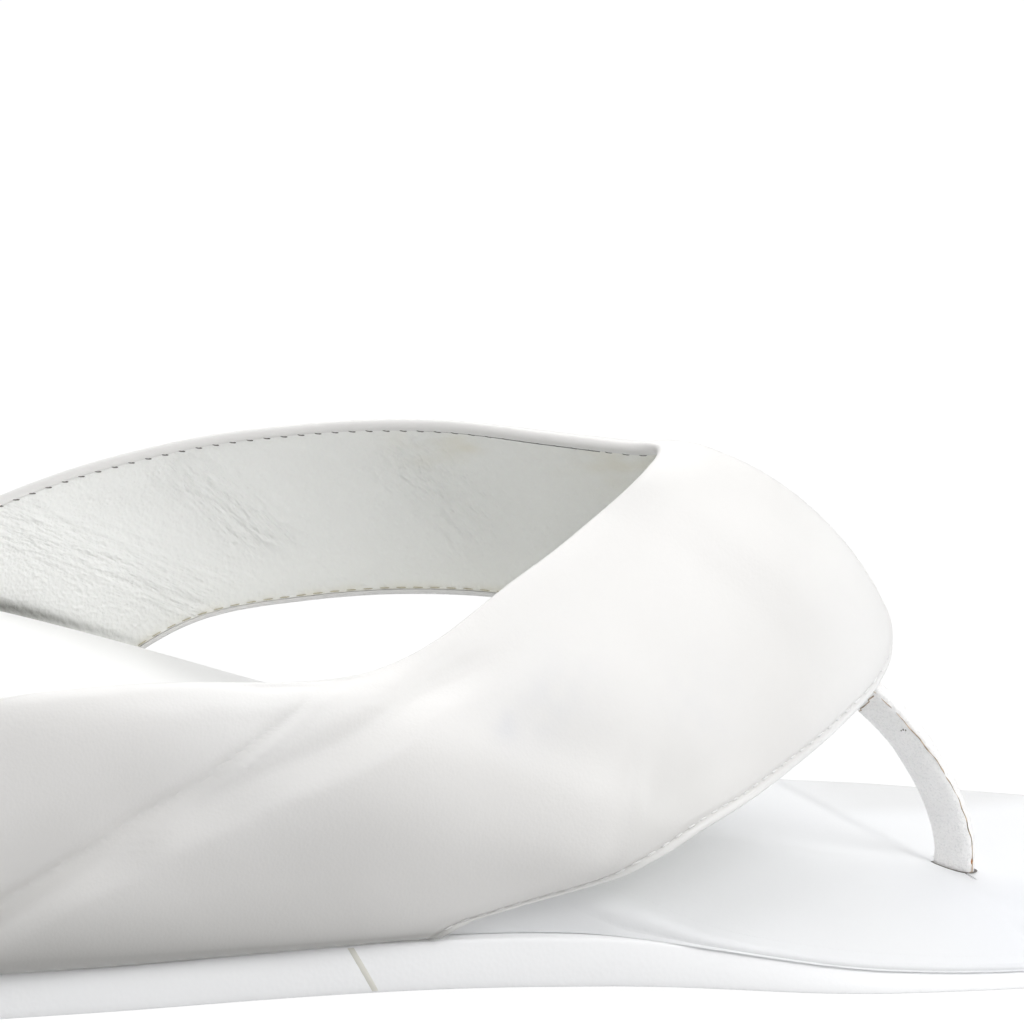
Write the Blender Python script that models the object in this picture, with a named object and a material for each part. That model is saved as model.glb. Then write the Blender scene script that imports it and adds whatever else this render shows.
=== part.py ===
"""A left-foot leather thong sandal on a low wedge, in metres, +X to the toe and +Z up.

The origin lies on the floor under the middle of the sandal's box. The medial side, where the big
toe is, is -Y. Sizes and places below are in millimetres and become metres when a mesh is made.
"""

from collections import namedtuple

import bpy
import numpy as np

METRE = 0.001
GAP = 0.3  # between two pieces that meet
POCKET_GAP = 0.5  # under the insole, whose curved underside and the pocket's floor have different facets

# Driving dimensions.
LENGTH = 233.0
FOREFOOT_TOP = 6.3  # footbed above the floor under the toes
HEEL_RISE = 35.7  # how much higher the footbed is at the heel
RISE_FROM, RISE_OVER = 70.0, 166.0  # the footbed climbs backwards from here, over this length
TREAD_FRONT, TREAD_REAR = 1.9, 4.9  # thickness of the outsole
TOE_SPRING = 4.5
WAIST_LIFT, WAIST_SWELL = 1.0, 0.7  # in the waist the sole lifts, and the outsole is this much thicker
TREAD_ROUND, TREAD_FLARE = 0.9, 1.3  # the outsole's lower edge, and how far its side leans in as it rises
STRAP_WALL = 2.4
STRAP_RECESS = 2.1  # the footbed's wall is this much further in where the straps lie on it
WALL_INSET = 0.9
WALL_LEAN, WALL_SWELL = 1.3, 0.4  # how far the tall wall leans in at its top, and swells halfway up
RIM_ROUND = 3.0  # the footbed's upper edge
PAD_RISE, PAD_RUN = 0.9, 5.0  # the footbed is this much higher behind the slit, and rises over this length
PAD_FRONT, PAD_SKEW = 66.3, 0.07  # where the pad starts, and how much further back per millimetre to the side
SIDE_KEEPS, SIDE_REACH, SIDE_CURVE = 0.8, 29.0, 1.35  # the pad falls away to a wall this low at the medial edge
RIM_DROP, RIM_REACH = 2.6, 14.0  # at the arch the top falls by this much, over this distance from the edge
COVER_INSET, COVER_THICK, COVER_LEAST = 1.6, 1.8, 0.6  # the insole, let into the footbed's top inside its rim
SLIT_X, SLIT_Y, SLIT_LENGTH, SLIT_WIDTH = 67.3, -9.3, 10.5, 0.7  # across the insole where the post goes down
POST_WIDTH, POST_THICK = 5.2, 2.3
SIDE_SPLIT = -4.5  # the strap lies on the medial wall below this y, on the lateral wall above it
POST_TURN = 49.0  # degrees from the foot's length to the post's flat face

# The plan outline of the sole: x, and how far the medial and the lateral edges lie from the x axis.
Station = namedtuple("Station", "x medial lateral")
OUTLINE = (
    Station(-116.5, 0.0, 0.0),
    Station(-112.5, 14.0, 14.0),
    Station(-104.5, 22.5, 22.5),
    Station(-88.5, 27.8, 29.3),
    Station(-61.5, 28.0, 31.0),
    Station(-31.5, 27.8, 32.2),
    Station(-6.5, 29.8, 34.4),
    Station(18.5, 33.6, 37.6),
    Station(41.5, 38.0, 39.6),
    Station(63.5, 39.6, 38.4),
    Station(78.5, 38.4, 33.5),
    Station(91.5, 35.6, 24.5),
    Station(103.5, 31.0, 11.5),
    Station(112.5, 25.0, -1.5),
    Station(116.5, 14.0, -14.0),
)

# The strap from its medial base, over the foot, to its lateral base. Each row runs across the
# strap, from its toe-side edge to its heel-side edge, and bulges outwards by crown in the middle.
Row = namedtuple("Row", "at toe heel crown")
STRAP_ROWS = (
    Row(0.00, (-8.5, -30.6, 7.9), (-78.0, -29.5, 6.4), 0.5),
    Row(0.08, (9.4, -33.0, 13.5), (-77.5, -28.5, 21.5), 1.0),
    Row(0.14, (15.9, -33.6, 16.3), (-67.0, -27.3, 34.6), 1.5),
    Row(0.20, (22.4, -32.0, 19.1), (-50.0, -26.3, 37.4), 2.5),
    Row(0.28, (31.0, -26.5, 21.3), (-19.0, -26.5, 37.7), 3.0),
    Row(0.36, (40.0, -20.0, 24.0), (3.0, -18.5, 47.3), 4.0),
    Row(0.42, (48.2, -14.2, 27.3), (14.5, -13.0, 53.2), 4.8),
    Row(0.46, (53.6, -10.8, 30.7), (21.0, -10.0, 57.3), 5.5),
    Row(0.50, (56.4, -7.6, 34.2), (24.4, -6.2, 59.5), 6.0),
    Row(0.54, (53.0, -4.6, 34.5), (20.5, -3.2, 59.6), 5.6),
    Row(0.60, (43.5, 1.2, 34.5), (12.0, 0.8, 60.2), 5.0),
    Row(0.68, (27.5, 10.0, 35.6), (0.0, 7.6, 60.6), 4.2),
    Row(0.76, (9.5, 18.8, 36.6), (-14.0, 15.2, 58.8), 3.4),
    Row(0.84, (-8.5, 26.5, 34.6), (-30.0, 21.2, 55.3), 2.6),
    Row(0.90, (-24.0, 31.5, 30.2), (-48.0, 25.5, 48.8), 2.0),
    Row(0.95, (-38.0, 32.0, 19.0), (-70.0, 28.6, 37.0), 1.0),
    Row(1.00, (-42.0, 32.5, 6.4), (-80.0, 29.8, 6.4), 0.5),
)

# The toe post's middle line, from the footbed up to the underside of the strap's point.
PostPoint = namedtuple("PostPoint", "x y z")
POST_LINE = (
    PostPoint(67.1, -9.6, 5.4),
    PostPoint(66.9, -9.5, 10.0),
    PostPoint(64.9, -9.2, 15.5),
    PostPoint(61.5, -8.8, 21.0),
    PostPoint(57.6, -8.1, 25.6),
    PostPoint(52.8, -6.0, 30.2),
)

WHITE_LEATHER = dict(name="white_leather", colour=(0.86, 0.86, 0.85), roughness=0.42)
SOLE_EDGE = dict(name="sole_edge", colour=(0.80, 0.81, 0.82), roughness=0.50)
INSOLE_LEATHER = dict(name="insole_leather", colour=(0.84, 0.84, 0.83), roughness=0.50)
POST_LEATHER = dict(name="post_leather", colour=(0.80, 0.80, 0.79), roughness=0.55)


def ease(t):
    """0 below 0, 1 above 1, with a smooth step between."""
    t = np.clip(t, 0.0, 1.0)
    return t * t * (3.0 - 2.0 * t)


def hermite(at, values, where):
    """A smooth curve through values at the places at, read at where: cubic pieces whose slope at each
    place is that of the chord between its neighbours."""
    at, values, where = (np.asarray(v, float) for v in (at, values, where))
    slopes = np.empty_like(values)
    slopes[1:-1] = ((values[2:] - values[:-2]).T / (at[2:] - at[:-2])).T
    slopes[0] = (values[1] - values[0]) / (at[1] - at[0])
    slopes[-1] = (values[-1] - values[-2]) / (at[-1] - at[-2])
    k = np.clip(np.searchsorted(at, where) - 1, 0, len(at) - 2)
    span = at[k + 1] - at[k]
    t = (where - at[k]) / span
    if values.ndim == 2:
        t, span = t[:, None], span[:, None]
    return (
        (2 * t**3 - 3 * t**2 + 1) * values[k]
        + (t**3 - 2 * t**2 + t) * span * slopes[k]
        + (3 * t**2 - 2 * t**3) * values[k + 1]
        + (t**3 - t**2) * span * slopes[k + 1]
    )


# Heights along the sandal.


def waist(x):
    """1 in the middle of the waist, falling to 0 at the heel and at the ball."""
    return ease((x + 50.0) / 50.0) * ease((45.0 - x) / 35.0)


def toe_spring(x):
    return TOE_SPRING * np.clip((x - 76.0) / 40.5, 0.0, 1.0) ** 1.8


def sole_bottom(x):
    """The ground line: flat at the heel and under the ball, lifted a little in the waist, sprung at the toe."""
    return WAIST_LIFT * waist(x) + toe_spring(x)


def tread_top(x):
    thick = TREAD_FRONT + (TREAD_REAR - TREAD_FRONT) * ease((62.0 - x) / 60.0)
    return sole_bottom(x) + thick + WAIST_SWELL * waist(x)


def footbed_top(x):
    """The footbed's height along its middle, without its padding."""
    return FOREFOOT_TOP + HEEL_RISE * ease((RISE_FROM - x) / RISE_OVER) + toe_spring(x)


# Plan outline.


def outline_arc(x):
    """The angle that a place along the sandal has on a half circle over its length, 0 at the heel."""
    return np.arccos(np.clip(-np.asarray(x) / (0.5 * LENGTH), -1.0, 1.0))


def outline_width(x, side):
    """How far the medial or the lateral edge lies from the x axis."""
    known = outline_arc([s.x for s in OUTLINE])
    return hermite(known, [getattr(s, side) for s in OUTLINE], outline_arc(x).ravel()).reshape(np.shape(x))


def pad(x, y):
    """1 on the pad behind the slit, falling to 0 in front of it and towards the heel."""
    return ease((PAD_FRONT - PAD_SKEW * y - x) / PAD_RUN) * ease((x + 20.0) / 50.0)


def footbed_height(x, y):
    """The padded top. On the medial side of the forefoot it falls away to a low edge, as the distance
    from the edge over SIDE_REACH, and a little at the arch."""
    x, y = np.asarray(x, float), np.asarray(y, float)
    top = footbed_top(x) + PAD_RISE * pad(x, y)
    from_edge = y + outline_width(x, "medial")
    drop = np.maximum(top - tread_top(x) - GAP - SIDE_KEEPS, 0.0)
    behind = pad(x, y) * ease((x + 16.0) / 20.0) + 0.4 * ease((x - 60.0) / 8.0) * ease((114.0 - x) / 14.0)
    away = np.clip(1.0 - from_edge / SIDE_REACH, 0.0, 1.0) ** SIDE_CURVE
    arch = np.clip(1.0 - from_edge / RIM_REACH, 0.0, 1.0) ** 2 * ease((-18.0 - x) / 14.0)
    return top - drop * np.minimum(behind, 1.0) * away - RIM_DROP * arch


def insole_under(x, y):
    """The insole's underside: COVER_THICK below the top, but kept clear of the wedge's own underside."""
    return np.maximum(footbed_height(x, y) - COVER_THICK, tread_top(x) + 2.0 * GAP + COVER_LEAST)


def strap_recess(x):
    """1 where the straps lie on the footbed's wall, falling to 0 in front of and behind them."""
    return ease((x + 92.0) / 12.0) * ease((24.0 - x) / 18.0)


def outline_loop(steps):
    """A closed loop of (x, y): from the heel along the medial edge to the toe, and back along the lateral
    edge. The stations crowd towards both ends."""
    turn = np.linspace(0.0, np.pi, steps + 1)
    x = -0.5 * LENGTH * np.cos(turn)
    medial = -outline_width(x, "medial")
    lateral = outline_width(x, "lateral")
    near = np.column_stack([x, medial])
    far = np.column_stack([x, lateral])[::-1]
    return np.concatenate([near, far[1:-1] if abs(medial[-1] - lateral[-1]) < 0.01 else far[:-1]])


def inset_loop(loop, distance):
    """The loop moved inwards by distance, which may differ from point to point."""
    ahead = np.roll(loop, -1, axis=0) - loop
    behind = loop - np.roll(loop, 1, axis=0)
    ahead /= np.linalg.norm(ahead, axis=1)[:, None]
    behind /= np.linalg.norm(behind, axis=1)[:, None]
    along = ahead + behind
    along /= np.linalg.norm(along, axis=1)[:, None]
    inward = np.column_stack([-along[:, 1], along[:, 0]])
    return loop + inward * np.reshape(distance, (-1, 1))


def wall_inset(x):
    return WALL_INSET + STRAP_RECESS * strap_recess(x)


# Meshes.


def make_material(look):
    material = bpy.data.materials.new(look["name"])
    material.use_nodes = True
    shader = material.node_tree.nodes["Principled BSDF"]
    shader.inputs["Base Color"].default_value = (*look["colour"], 1.0)
    shader.inputs["Roughness"].default_value = look["roughness"]
    shader.inputs["Metallic"].default_value = 0.0
    return material


def make_object(name, points, faces, look):
    mesh = bpy.data.meshes.new(name)
    mesh.from_pydata((np.asarray(points) * METRE).tolist(), [], faces)
    mesh.validate()
    mesh.shade_smooth()
    mesh.set_sharp_from_angle(angle=np.radians(35.0))
    mesh.materials.append(make_material(look))
    made = bpy.data.objects.new(name, mesh)
    bpy.context.scene.collection.objects.link(made)
    return made


def stacked_rings(name, rings, look, heights=(None, None), across=5):
    """A closed solid from rings of equal count, bottom to top, each a closed loop of (x, y, z). The first
    and last rings are capped with strips that run from the medial to the lateral edge, with this many
    points between, whose heights may each be a function of x and y."""
    count = len(rings[0])
    points = [np.asarray(ring) for ring in rings]
    faces = []
    for k in range(len(rings) - 1):
        for i in range(count):
            j = (i + 1) % count
            faces.append((k * count + i, k * count + j, (k + 1) * count + j, (k + 1) * count + i))
    flat = [np.concatenate(points)]
    total = len(flat[0])
    half = count // 2
    ends = ((points[0], 0, False, heights[0]), (points[-1], (len(rings) - 1) * count, True, heights[1]))
    for ring, base, upward, height in ends:
        pairs = [(i, (count - i) % count) for i in range(half + 1)]
        grid = []
        for near, far in pairs:
            if near == far or near == half and count % 2 == 0 and far == half:
                grid.append([base + near] * (across + 2))
                continue
            share = np.linspace(0.0, 1.0, across + 2)[1:-1, None]
            inner = ring[near] * (1 - share) + ring[far] * share
            if height:
                inner[:, 2] = height(inner[:, 0], inner[:, 1])
            flat.append(inner)
            grid.append([base + near, *range(total, total + across), base + far])
            total += across
        for a, b in zip(grid[:-1], grid[1:]):
            for c in range(across + 1):
                face = [a[c], b[c], b[c + 1], a[c + 1]]
                face = [v for n, v in enumerate(face) if v != face[n - 1]]
                if len(face) > 2:
                    faces.append(tuple(face if upward else face[::-1]))
    return make_object(name, np.concatenate(flat), faces, look)


def with_height(loop, z):
    return np.column_stack([loop, np.broadcast_to(z, len(loop))])


def build_outsole(loop):
    """The tread: a slab of its own thickness, with a small round along its lower edge, whose side leans
    in as it rises."""
    low = sole_bottom(loop[:, 0])
    rings = []
    for angle in np.radians((0.0, 30.0, 60.0, 90.0)):
        ring = inset_loop(loop, TREAD_ROUND * (1.0 - np.sin(angle)))
        rings.append(with_height(ring, low + TREAD_ROUND * (1.0 - np.cos(angle))))
    flat_floor = inset_loop(loop, TREAD_ROUND)
    rings[0] = with_height(flat_floor, sole_bottom(flat_floor[:, 0]))
    upper = inset_loop(loop, TREAD_FLARE)
    rings.append(with_height(upper, tread_top(upper[:, 0])))
    return stacked_rings("outsole", rings, SOLE_EDGE, (lambda x, y: sole_bottom(x), lambda x, y: tread_top(x)))


def on_top(loop, distance, below=0.0):
    """The loop moved in by distance and laid on the padded top, or this far below it."""
    ring = inset_loop(loop, distance)
    return with_height(ring, footbed_height(ring[:, 0], ring[:, 1]) - below)


def rim_sizes(loop):
    """The wall's foot, its lean, its height, and the rim's round, which stays smaller than the wall."""
    x = loop[:, 0]
    low = tread_top(x) + GAP
    lean = WALL_LEAN * ease((footbed_top(x) - low) / 25.0)
    edge = inset_loop(loop, wall_inset(x) + lean)
    tall = footbed_height(edge[:, 0], edge[:, 1]) - low
    return low, lean, tall, np.minimum(RIM_ROUND, 0.8 * tall)


def footbed_rings(loop):
    """Wall and rounded rim of the leather-wrapped wedge, each ring as (loop, height)."""
    low, lean, tall, radius = rim_sizes(loop)
    base = wall_inset(loop[:, 0])
    rings = []
    for share in (0.0, 0.35, 0.7, 1.0):
        swell = WALL_SWELL * np.sin(np.pi * share) * ease(tall / 25.0)
        ring = inset_loop(loop, base + lean * share - swell)
        foot = tread_top(ring[:, 0]) + GAP
        rings.append(with_height(ring, foot + (low + tall - radius - foot) * share))
    for angle in np.radians((22.5, 45.0, 67.5, 90.0)):
        rings.append(on_top(loop, base + lean + radius * (1.0 - np.cos(angle)), radius * (1.0 - np.sin(angle))))
    return rings


def pocket_inset(loop):
    """How far in from the outline the insole's edge lies, past the wall and the rim's round."""
    low, lean, tall, radius = rim_sizes(loop)
    return wall_inset(loop[:, 0]) + lean + radius + COVER_INSET


def build_footbed(loop):
    """The wedge with its rounded rim, and in its top the pocket for the insole."""
    rings = footbed_rings(loop)
    rings.append(on_top(loop, pocket_inset(loop)))
    edge = rings[-1][:, :2]
    rings.append(with_height(edge, insole_under(edge[:, 0], edge[:, 1]) - POCKET_GAP))
    heights = (lambda x, y: tread_top(x) + GAP, lambda x, y: insole_under(x, y) - POCKET_GAP)
    return stacked_rings("footbed", rings, WHITE_LEATHER, heights, 11)


def build_insole(loop):
    """A thin covered board that fills the pocket, with its top edge slightly eased, and the slit and the
    hole where the toe post goes down cut through it."""
    inner = pocket_inset(loop) + GAP
    edge = inset_loop(loop, inner)
    rings = [
        with_height(edge, insole_under(edge[:, 0], edge[:, 1])),
        on_top(loop, inner, 0.3),
        on_top(loop, inner + 0.4),
    ]
    insole = stacked_rings("insole", rings, INSOLE_LEATHER, (insole_under, footbed_height), 11)
    across = np.array([0.5 * SLIT_WIDTH, 0.5 * SLIT_LENGTH])
    slit = np.array([SLIT_X, SLIT_Y]) + across * np.array([(-1, -1), (1, -1), (1, 1), (-1, 1)])
    cut_through(insole, "slit_cutter", slit)
    cut_through(insole, "post_cutter", post_section(GAP) + np.array(POST_LINE[0][:2]))
    return insole


def cut_through(target, name, outline):
    """Cuts a prism of this plan outline through the whole height of the target."""
    count = len(outline)
    points = np.concatenate([with_height(outline, FOREFOOT_TOP - 6.0), with_height(outline, FOREFOOT_TOP + 6.0)])
    faces = [tuple(range(count))[::-1], tuple(range(count, 2 * count))]
    for i in range(count):
        j = (i + 1) % count
        faces.append((i, j, count + j, count + i))
    cutter = make_object(name, points, faces, INSOLE_LEATHER)
    cutter.hide_render = True
    cutter.display_type = "WIRE"
    cut = target.modifiers.new(name, "BOOLEAN")
    cut.operation = "DIFFERENCE"
    cut.solver = "EXACT"
    cut.object = cutter


def strap_surface(columns, rows):
    """Middle surface of the strap, as arrays (columns, rows, 3): a straight line from the toe-side edge to
    the heel-side edge, bulged outwards as a parabola, and held off the footbed's wall."""
    at = np.array([row.at for row in STRAP_ROWS])
    where = np.linspace(0.0, 1.0, columns)
    toe = hermite(at, np.array([row.toe for row in STRAP_ROWS]), where)
    heel = hermite(at, np.array([row.heel for row in STRAP_ROWS]), where)
    crown = hermite(at, np.array([row.crown for row in STRAP_ROWS]), where)
    across = heel - toe
    along = np.gradient(0.5 * (toe + heel), axis=0)
    outward = np.cross(along, across)
    outward /= np.linalg.norm(outward, axis=1)[:, None]
    v = np.linspace(0.0, 1.0, rows)[None, :, None]
    lift = (4.0 * v * (1.0 - v)) ** 0.75 * crown[:, None, None]
    surface = toe[:, None] * (1.0 - v) + heel[:, None] * v + lift * outward[:, None]
    return hold_to_wall(surface)


def wall_at(x, z, side):
    """How far from the x axis the strap's middle surface lies when it hugs the footbed's leaning wall."""
    edge = outline_width(x, side)
    low, high = tread_top(x) + GAP, footbed_top(x)
    share = np.clip((z - low) / (high - low), 0.0, 1.0)
    lean = WALL_LEAN * ease((high - low) / 25.0) * np.clip(share / 0.9, 0.0, 1.0)
    return edge - wall_inset(x) - lean + GAP + 0.5 * STRAP_WALL + WALL_SWELL + 0.1


def hold_to_wall(surface):
    """Draws the surface in to the footbed's wall, the more the lower it lies below the rim, never lets it
    into the wall, evens it out, and seats its two lower edges just above the outsole."""
    side = np.where(surface[..., 1] < SIDE_SPLIT, -1.0, 1.0)
    for end in (0, -1):
        surface[end, :, 2] = tread_top(surface[end, :, 0]) + GAP + 0.05
    x, z = surface[..., 0], surface[..., 2]
    top = footbed_top(x)
    wall = np.where(side < 0, wall_at(x, z, "medial"), wall_at(x, z, "lateral"))
    draw = ease((top - z) / (0.7 * (top - tread_top(x))))
    reach = surface[..., 1] * side
    reach = wall * draw + reach * (1.0 - draw)
    for step in range(10):
        reach = np.where(z < top + 1.5, np.maximum(reach, wall), reach)
        even = reach.copy()
        even[1:-1] = 0.5 * even[1:-1] + 0.25 * (even[:-2] + even[2:])
        even[:, 1:-1] = 0.5 * even[:, 1:-1] + 0.25 * (even[:, :-2] + even[:, 2:])
        reach = reach + (even - reach) * ease((top + 20.0 - z) / 14.0)
    surface[..., 1] = side * np.where(z < top - 1.0, np.maximum(reach, wall), reach)
    surface[..., 2] = np.maximum(z, tread_top(x) + GAP + 0.05)
    return surface


def across_both(surface):
    """The unit normals of a surface grid, pointing away from the foot."""
    along = np.gradient(surface, axis=0)
    across = np.gradient(surface, axis=1)
    normal = np.cross(along, across)
    normal /= np.linalg.norm(normal, axis=2)[..., None]
    for _ in range(4):
        normal[1:-1] = 0.5 * normal[1:-1] + 0.25 * (normal[:-2] + normal[2:])
    return normal / np.linalg.norm(normal, axis=2)[..., None]


def build_strap():
    """The sheet between two copies of the middle surface, half a wall out and half a wall in, closed by
    a strip all round its edge."""
    columns, rows = 65, 13
    surface = strap_surface(columns, rows)
    normal = across_both(surface)
    outer = (surface + 0.5 * STRAP_WALL * normal).reshape(-1, 3)
    inner = (surface - 0.5 * STRAP_WALL * normal).reshape(-1, 3)
    total = columns * rows
    number = np.arange(total).reshape(columns, rows)
    faces = []
    for i in range(columns - 1):
        for j in range(rows - 1):
            a, b, c, d = number[i, j], number[i + 1, j], number[i + 1, j + 1], number[i, j + 1]
            faces.append((a, b, c, d))
            faces.append((d + total, c + total, b + total, a + total))
    rim = [*number[:-1, 0], *number[-1, :-1], *number[:0:-1, -1], *number[0, :0:-1]]
    for a, b in zip(rim, rim[1:] + rim[:1]):
        faces.append((b, a, a + total, b + total))
    faces = [tuple(int(v) for v in face) for face in faces]
    return make_object("strap_upper", np.concatenate([outer, inner]), faces, WHITE_LEATHER)


def rounded_section(grow):
    """The post's section, a rectangle with rounded corners, grown by this much all round."""
    corner = 0.35 * POST_THICK
    section = []
    for cx, cy, start in ((1, 1, 0), (-1, 1, 90), (-1, -1, 180), (1, -1, 270)):
        for step in (0, 45, 90):
            angle = np.radians(start + step)
            section.append(
                (
                    cx * (0.5 * POST_WIDTH - corner) + (corner + grow) * np.cos(angle),
                    cy * (0.5 * POST_THICK - corner) + (corner + grow) * np.sin(angle),
                )
            )
    return np.array(section)


def post_section(grow):
    """The same section seen in plan, where the post stands upright on the footbed."""
    turn = np.radians(POST_TURN)
    wide = np.array([np.cos(turn), -np.sin(turn)])
    thick = np.array([np.sin(turn), np.cos(turn)])
    section = rounded_section(grow)
    return section[:, :1] * wide + section[:, 1:] * thick


def build_post():
    """A flat folded strip swept along its line, its wide side turned from the foot's length."""
    line = np.array(POST_LINE)
    path = hermite(np.linspace(0.0, 1.0, len(line)), line, np.linspace(0.0, 1.0, 17))
    along = np.gradient(path, axis=0)
    along[0] = (0.0, 0.0, 1.0)
    along /= np.linalg.norm(along, axis=1)[:, None]
    turn = np.radians(POST_TURN)
    flat = np.array([np.cos(turn), -np.sin(turn), 0.0])
    wide = flat - along * (along @ flat)[:, None]
    wide /= np.linalg.norm(wide, axis=1)[:, None]
    thick = np.cross(along, wide)
    section = rounded_section(0.0)
    rings = path[:, None] + wide[:, None] * section[None, :, :1] + thick[:, None] * section[None, :, 1:]
    count = len(section)
    faces = [tuple(range(count))[::-1], tuple(range((len(path) - 1) * count, len(path) * count))]
    for k in range(len(path) - 1):
        for i in range(count):
            j = (i + 1) % count
            faces.append((k * count + i, k * count + j, (k + 1) * count + j, (k + 1) * count + i))
    return make_object("toe_post", rings.reshape(-1, 3), faces, POST_LEATHER)


def main():
    for old in list(bpy.data.objects):
        bpy.data.objects.remove(old, do_unlink=True)
    loop = outline_loop(56)
    build_outsole(loop)
    build_footbed(loop)
    build_insole(loop)
    build_strap()
    build_post()


main()
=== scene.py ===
import math

import bmesh
import bpy
import numpy as np
from mathutils import Matrix, Vector


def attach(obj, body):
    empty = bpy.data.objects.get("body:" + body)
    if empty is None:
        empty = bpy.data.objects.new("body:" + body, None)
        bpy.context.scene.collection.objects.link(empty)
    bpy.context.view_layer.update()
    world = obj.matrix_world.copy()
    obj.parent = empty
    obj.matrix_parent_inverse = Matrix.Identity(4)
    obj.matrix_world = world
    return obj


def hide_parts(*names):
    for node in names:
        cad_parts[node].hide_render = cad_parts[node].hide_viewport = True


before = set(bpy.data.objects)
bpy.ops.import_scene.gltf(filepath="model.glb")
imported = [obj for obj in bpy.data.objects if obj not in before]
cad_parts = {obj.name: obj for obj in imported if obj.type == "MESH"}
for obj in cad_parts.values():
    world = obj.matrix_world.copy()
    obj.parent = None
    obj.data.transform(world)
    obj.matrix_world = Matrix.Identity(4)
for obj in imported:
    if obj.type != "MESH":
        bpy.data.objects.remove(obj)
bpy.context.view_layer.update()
print("frame loaded")

mm = 0.001

# millimetres and degrees; the lens is in millimetres on a 36 mm frame
camera = dict(place=(-183.3, -487.6, 151.8), yaw=21.49, down=10.89, roll=3.2, lens=155.2, sensor=36.0)


def makeCamera():
    # right, up and back axes from yaw about Z, then the dip, then a turn by roll about the line of sight
    yaw, down, roll = (math.radians(camera[key]) for key in ("yaw", "down", "roll"))
    ahead = Vector((math.sin(yaw) * math.cos(down), math.cos(yaw) * math.cos(down), -math.sin(down)))
    level = Vector((math.cos(yaw), -math.sin(yaw), 0.0))
    right = level * math.cos(roll) + level.cross(ahead) * math.sin(roll)
    up = right.cross(ahead)
    data = bpy.data.cameras.new("camera")
    data.sensor_width = camera["sensor"]
    data.lens = camera["lens"]
    data.clip_start, data.clip_end = 0.01, 100.0
    view = bpy.data.objects.new("camera", data)
    axes = Matrix((right, up, -ahead)).transposed().to_4x4()
    view.matrix_world = Matrix.Translation(Vector(camera["place"]) * mm) @ axes
    bpy.context.scene.collection.objects.link(view)
    bpy.context.scene.camera = view


makeCamera()
bpy.context.scene.view_settings.view_transform = "Standard"

# the room: soft glowing walls as (way, brightness) behind, in front and overhead, and panels as (place,
# size, power)
light = dict(
    walls=(((0.0, 0.82, 0.57), 1.85), ((0.0, -0.82, 0.57), 1.20), ((-0.21, 0.37, 0.91), 0.45)),
    narrow=5.0, seen=1.0, aim=(0.03, -0.02, 0.03),
    panels=(
        ((0.25, -0.22, 0.20), 0.2, 0.39), ((0.10, 0.10, 0.45), 0.3, 0.52),
        ((0.15, -0.25, 0.40), 0.3, 0.60), ((-0.45, -0.10, 0.35), 0.4, 0.45),
    ),
)
floorLook = dict(reach=20.0, paper=0.62, rough=0.9, white=1.05, glow=0.95)


def softLight(name, place, aim, size, power):
    # a square panel at a place, facing its aim
    data = bpy.data.lights.new(name, "AREA")
    data.shape = "SQUARE"
    data.size = size
    data.energy = power
    panel = bpy.data.objects.new(name, data)
    panel.location = place
    panel.rotation_mode = "QUATERNION"
    panel.rotation_quaternion = (Vector(aim) - Vector(place)).to_track_quat("-Z", "Y")
    bpy.context.scene.collection.objects.link(panel)


def nodeAdder(tree):
    # a short way to add a node, with its sockets and its settings, to one tree
    def add(kind, sockets=None, **settings):
        node = tree.nodes.new(kind)
        for key, value in settings.items():
            setattr(node, key, value)
        for key, value in (sockets or {}).items():
            if isinstance(value, bpy.types.NodeSocket):
                tree.links.new(value, node.inputs[key])
            else:
                node.inputs[key].default_value = value
        return node.outputs[0]

    return add


def makeRoom():
    # brightness = sum over the walls of strength * max(0, direction . way) ^ narrow; seen straight on,
    # the background is plain white
    world = bpy.data.worlds.new("studio")
    bpy.context.scene.world = world
    world.use_nodes = True
    add = nodeAdder(world.node_tree)
    ways = world.node_tree.nodes.new("ShaderNodeTexCoord").outputs["Generated"]
    total = None
    for way, strength in light["walls"]:
        facing = add("ShaderNodeVectorMath", {0: ways, 1: way}, operation="DOT_PRODUCT").node.outputs["Value"]
        facing = add("ShaderNodeMath", {0: facing, 1: 0.0}, operation="MAXIMUM")
        lobe = add("ShaderNodeMath", {0: facing, 1: light["narrow"]}, operation="POWER")
        lobe = add("ShaderNodeMath", {0: lobe, 1: strength}, operation="MULTIPLY")
        total = add("ShaderNodeMath", {0: total, 1: lobe}, operation="ADD") if total else lobe
    eye = world.node_tree.nodes.new("ShaderNodeLightPath").outputs["Is Camera Ray"]
    seen = add("ShaderNodeMapRange", {"Value": eye, "To Min": total, "To Max": light["seen"]})
    background = world.node_tree.nodes["Background"]
    background.inputs["Color"].default_value = (1.0, 1.0, 1.0, 1.0)
    world.node_tree.links.new(seen, background.inputs["Strength"])


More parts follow.
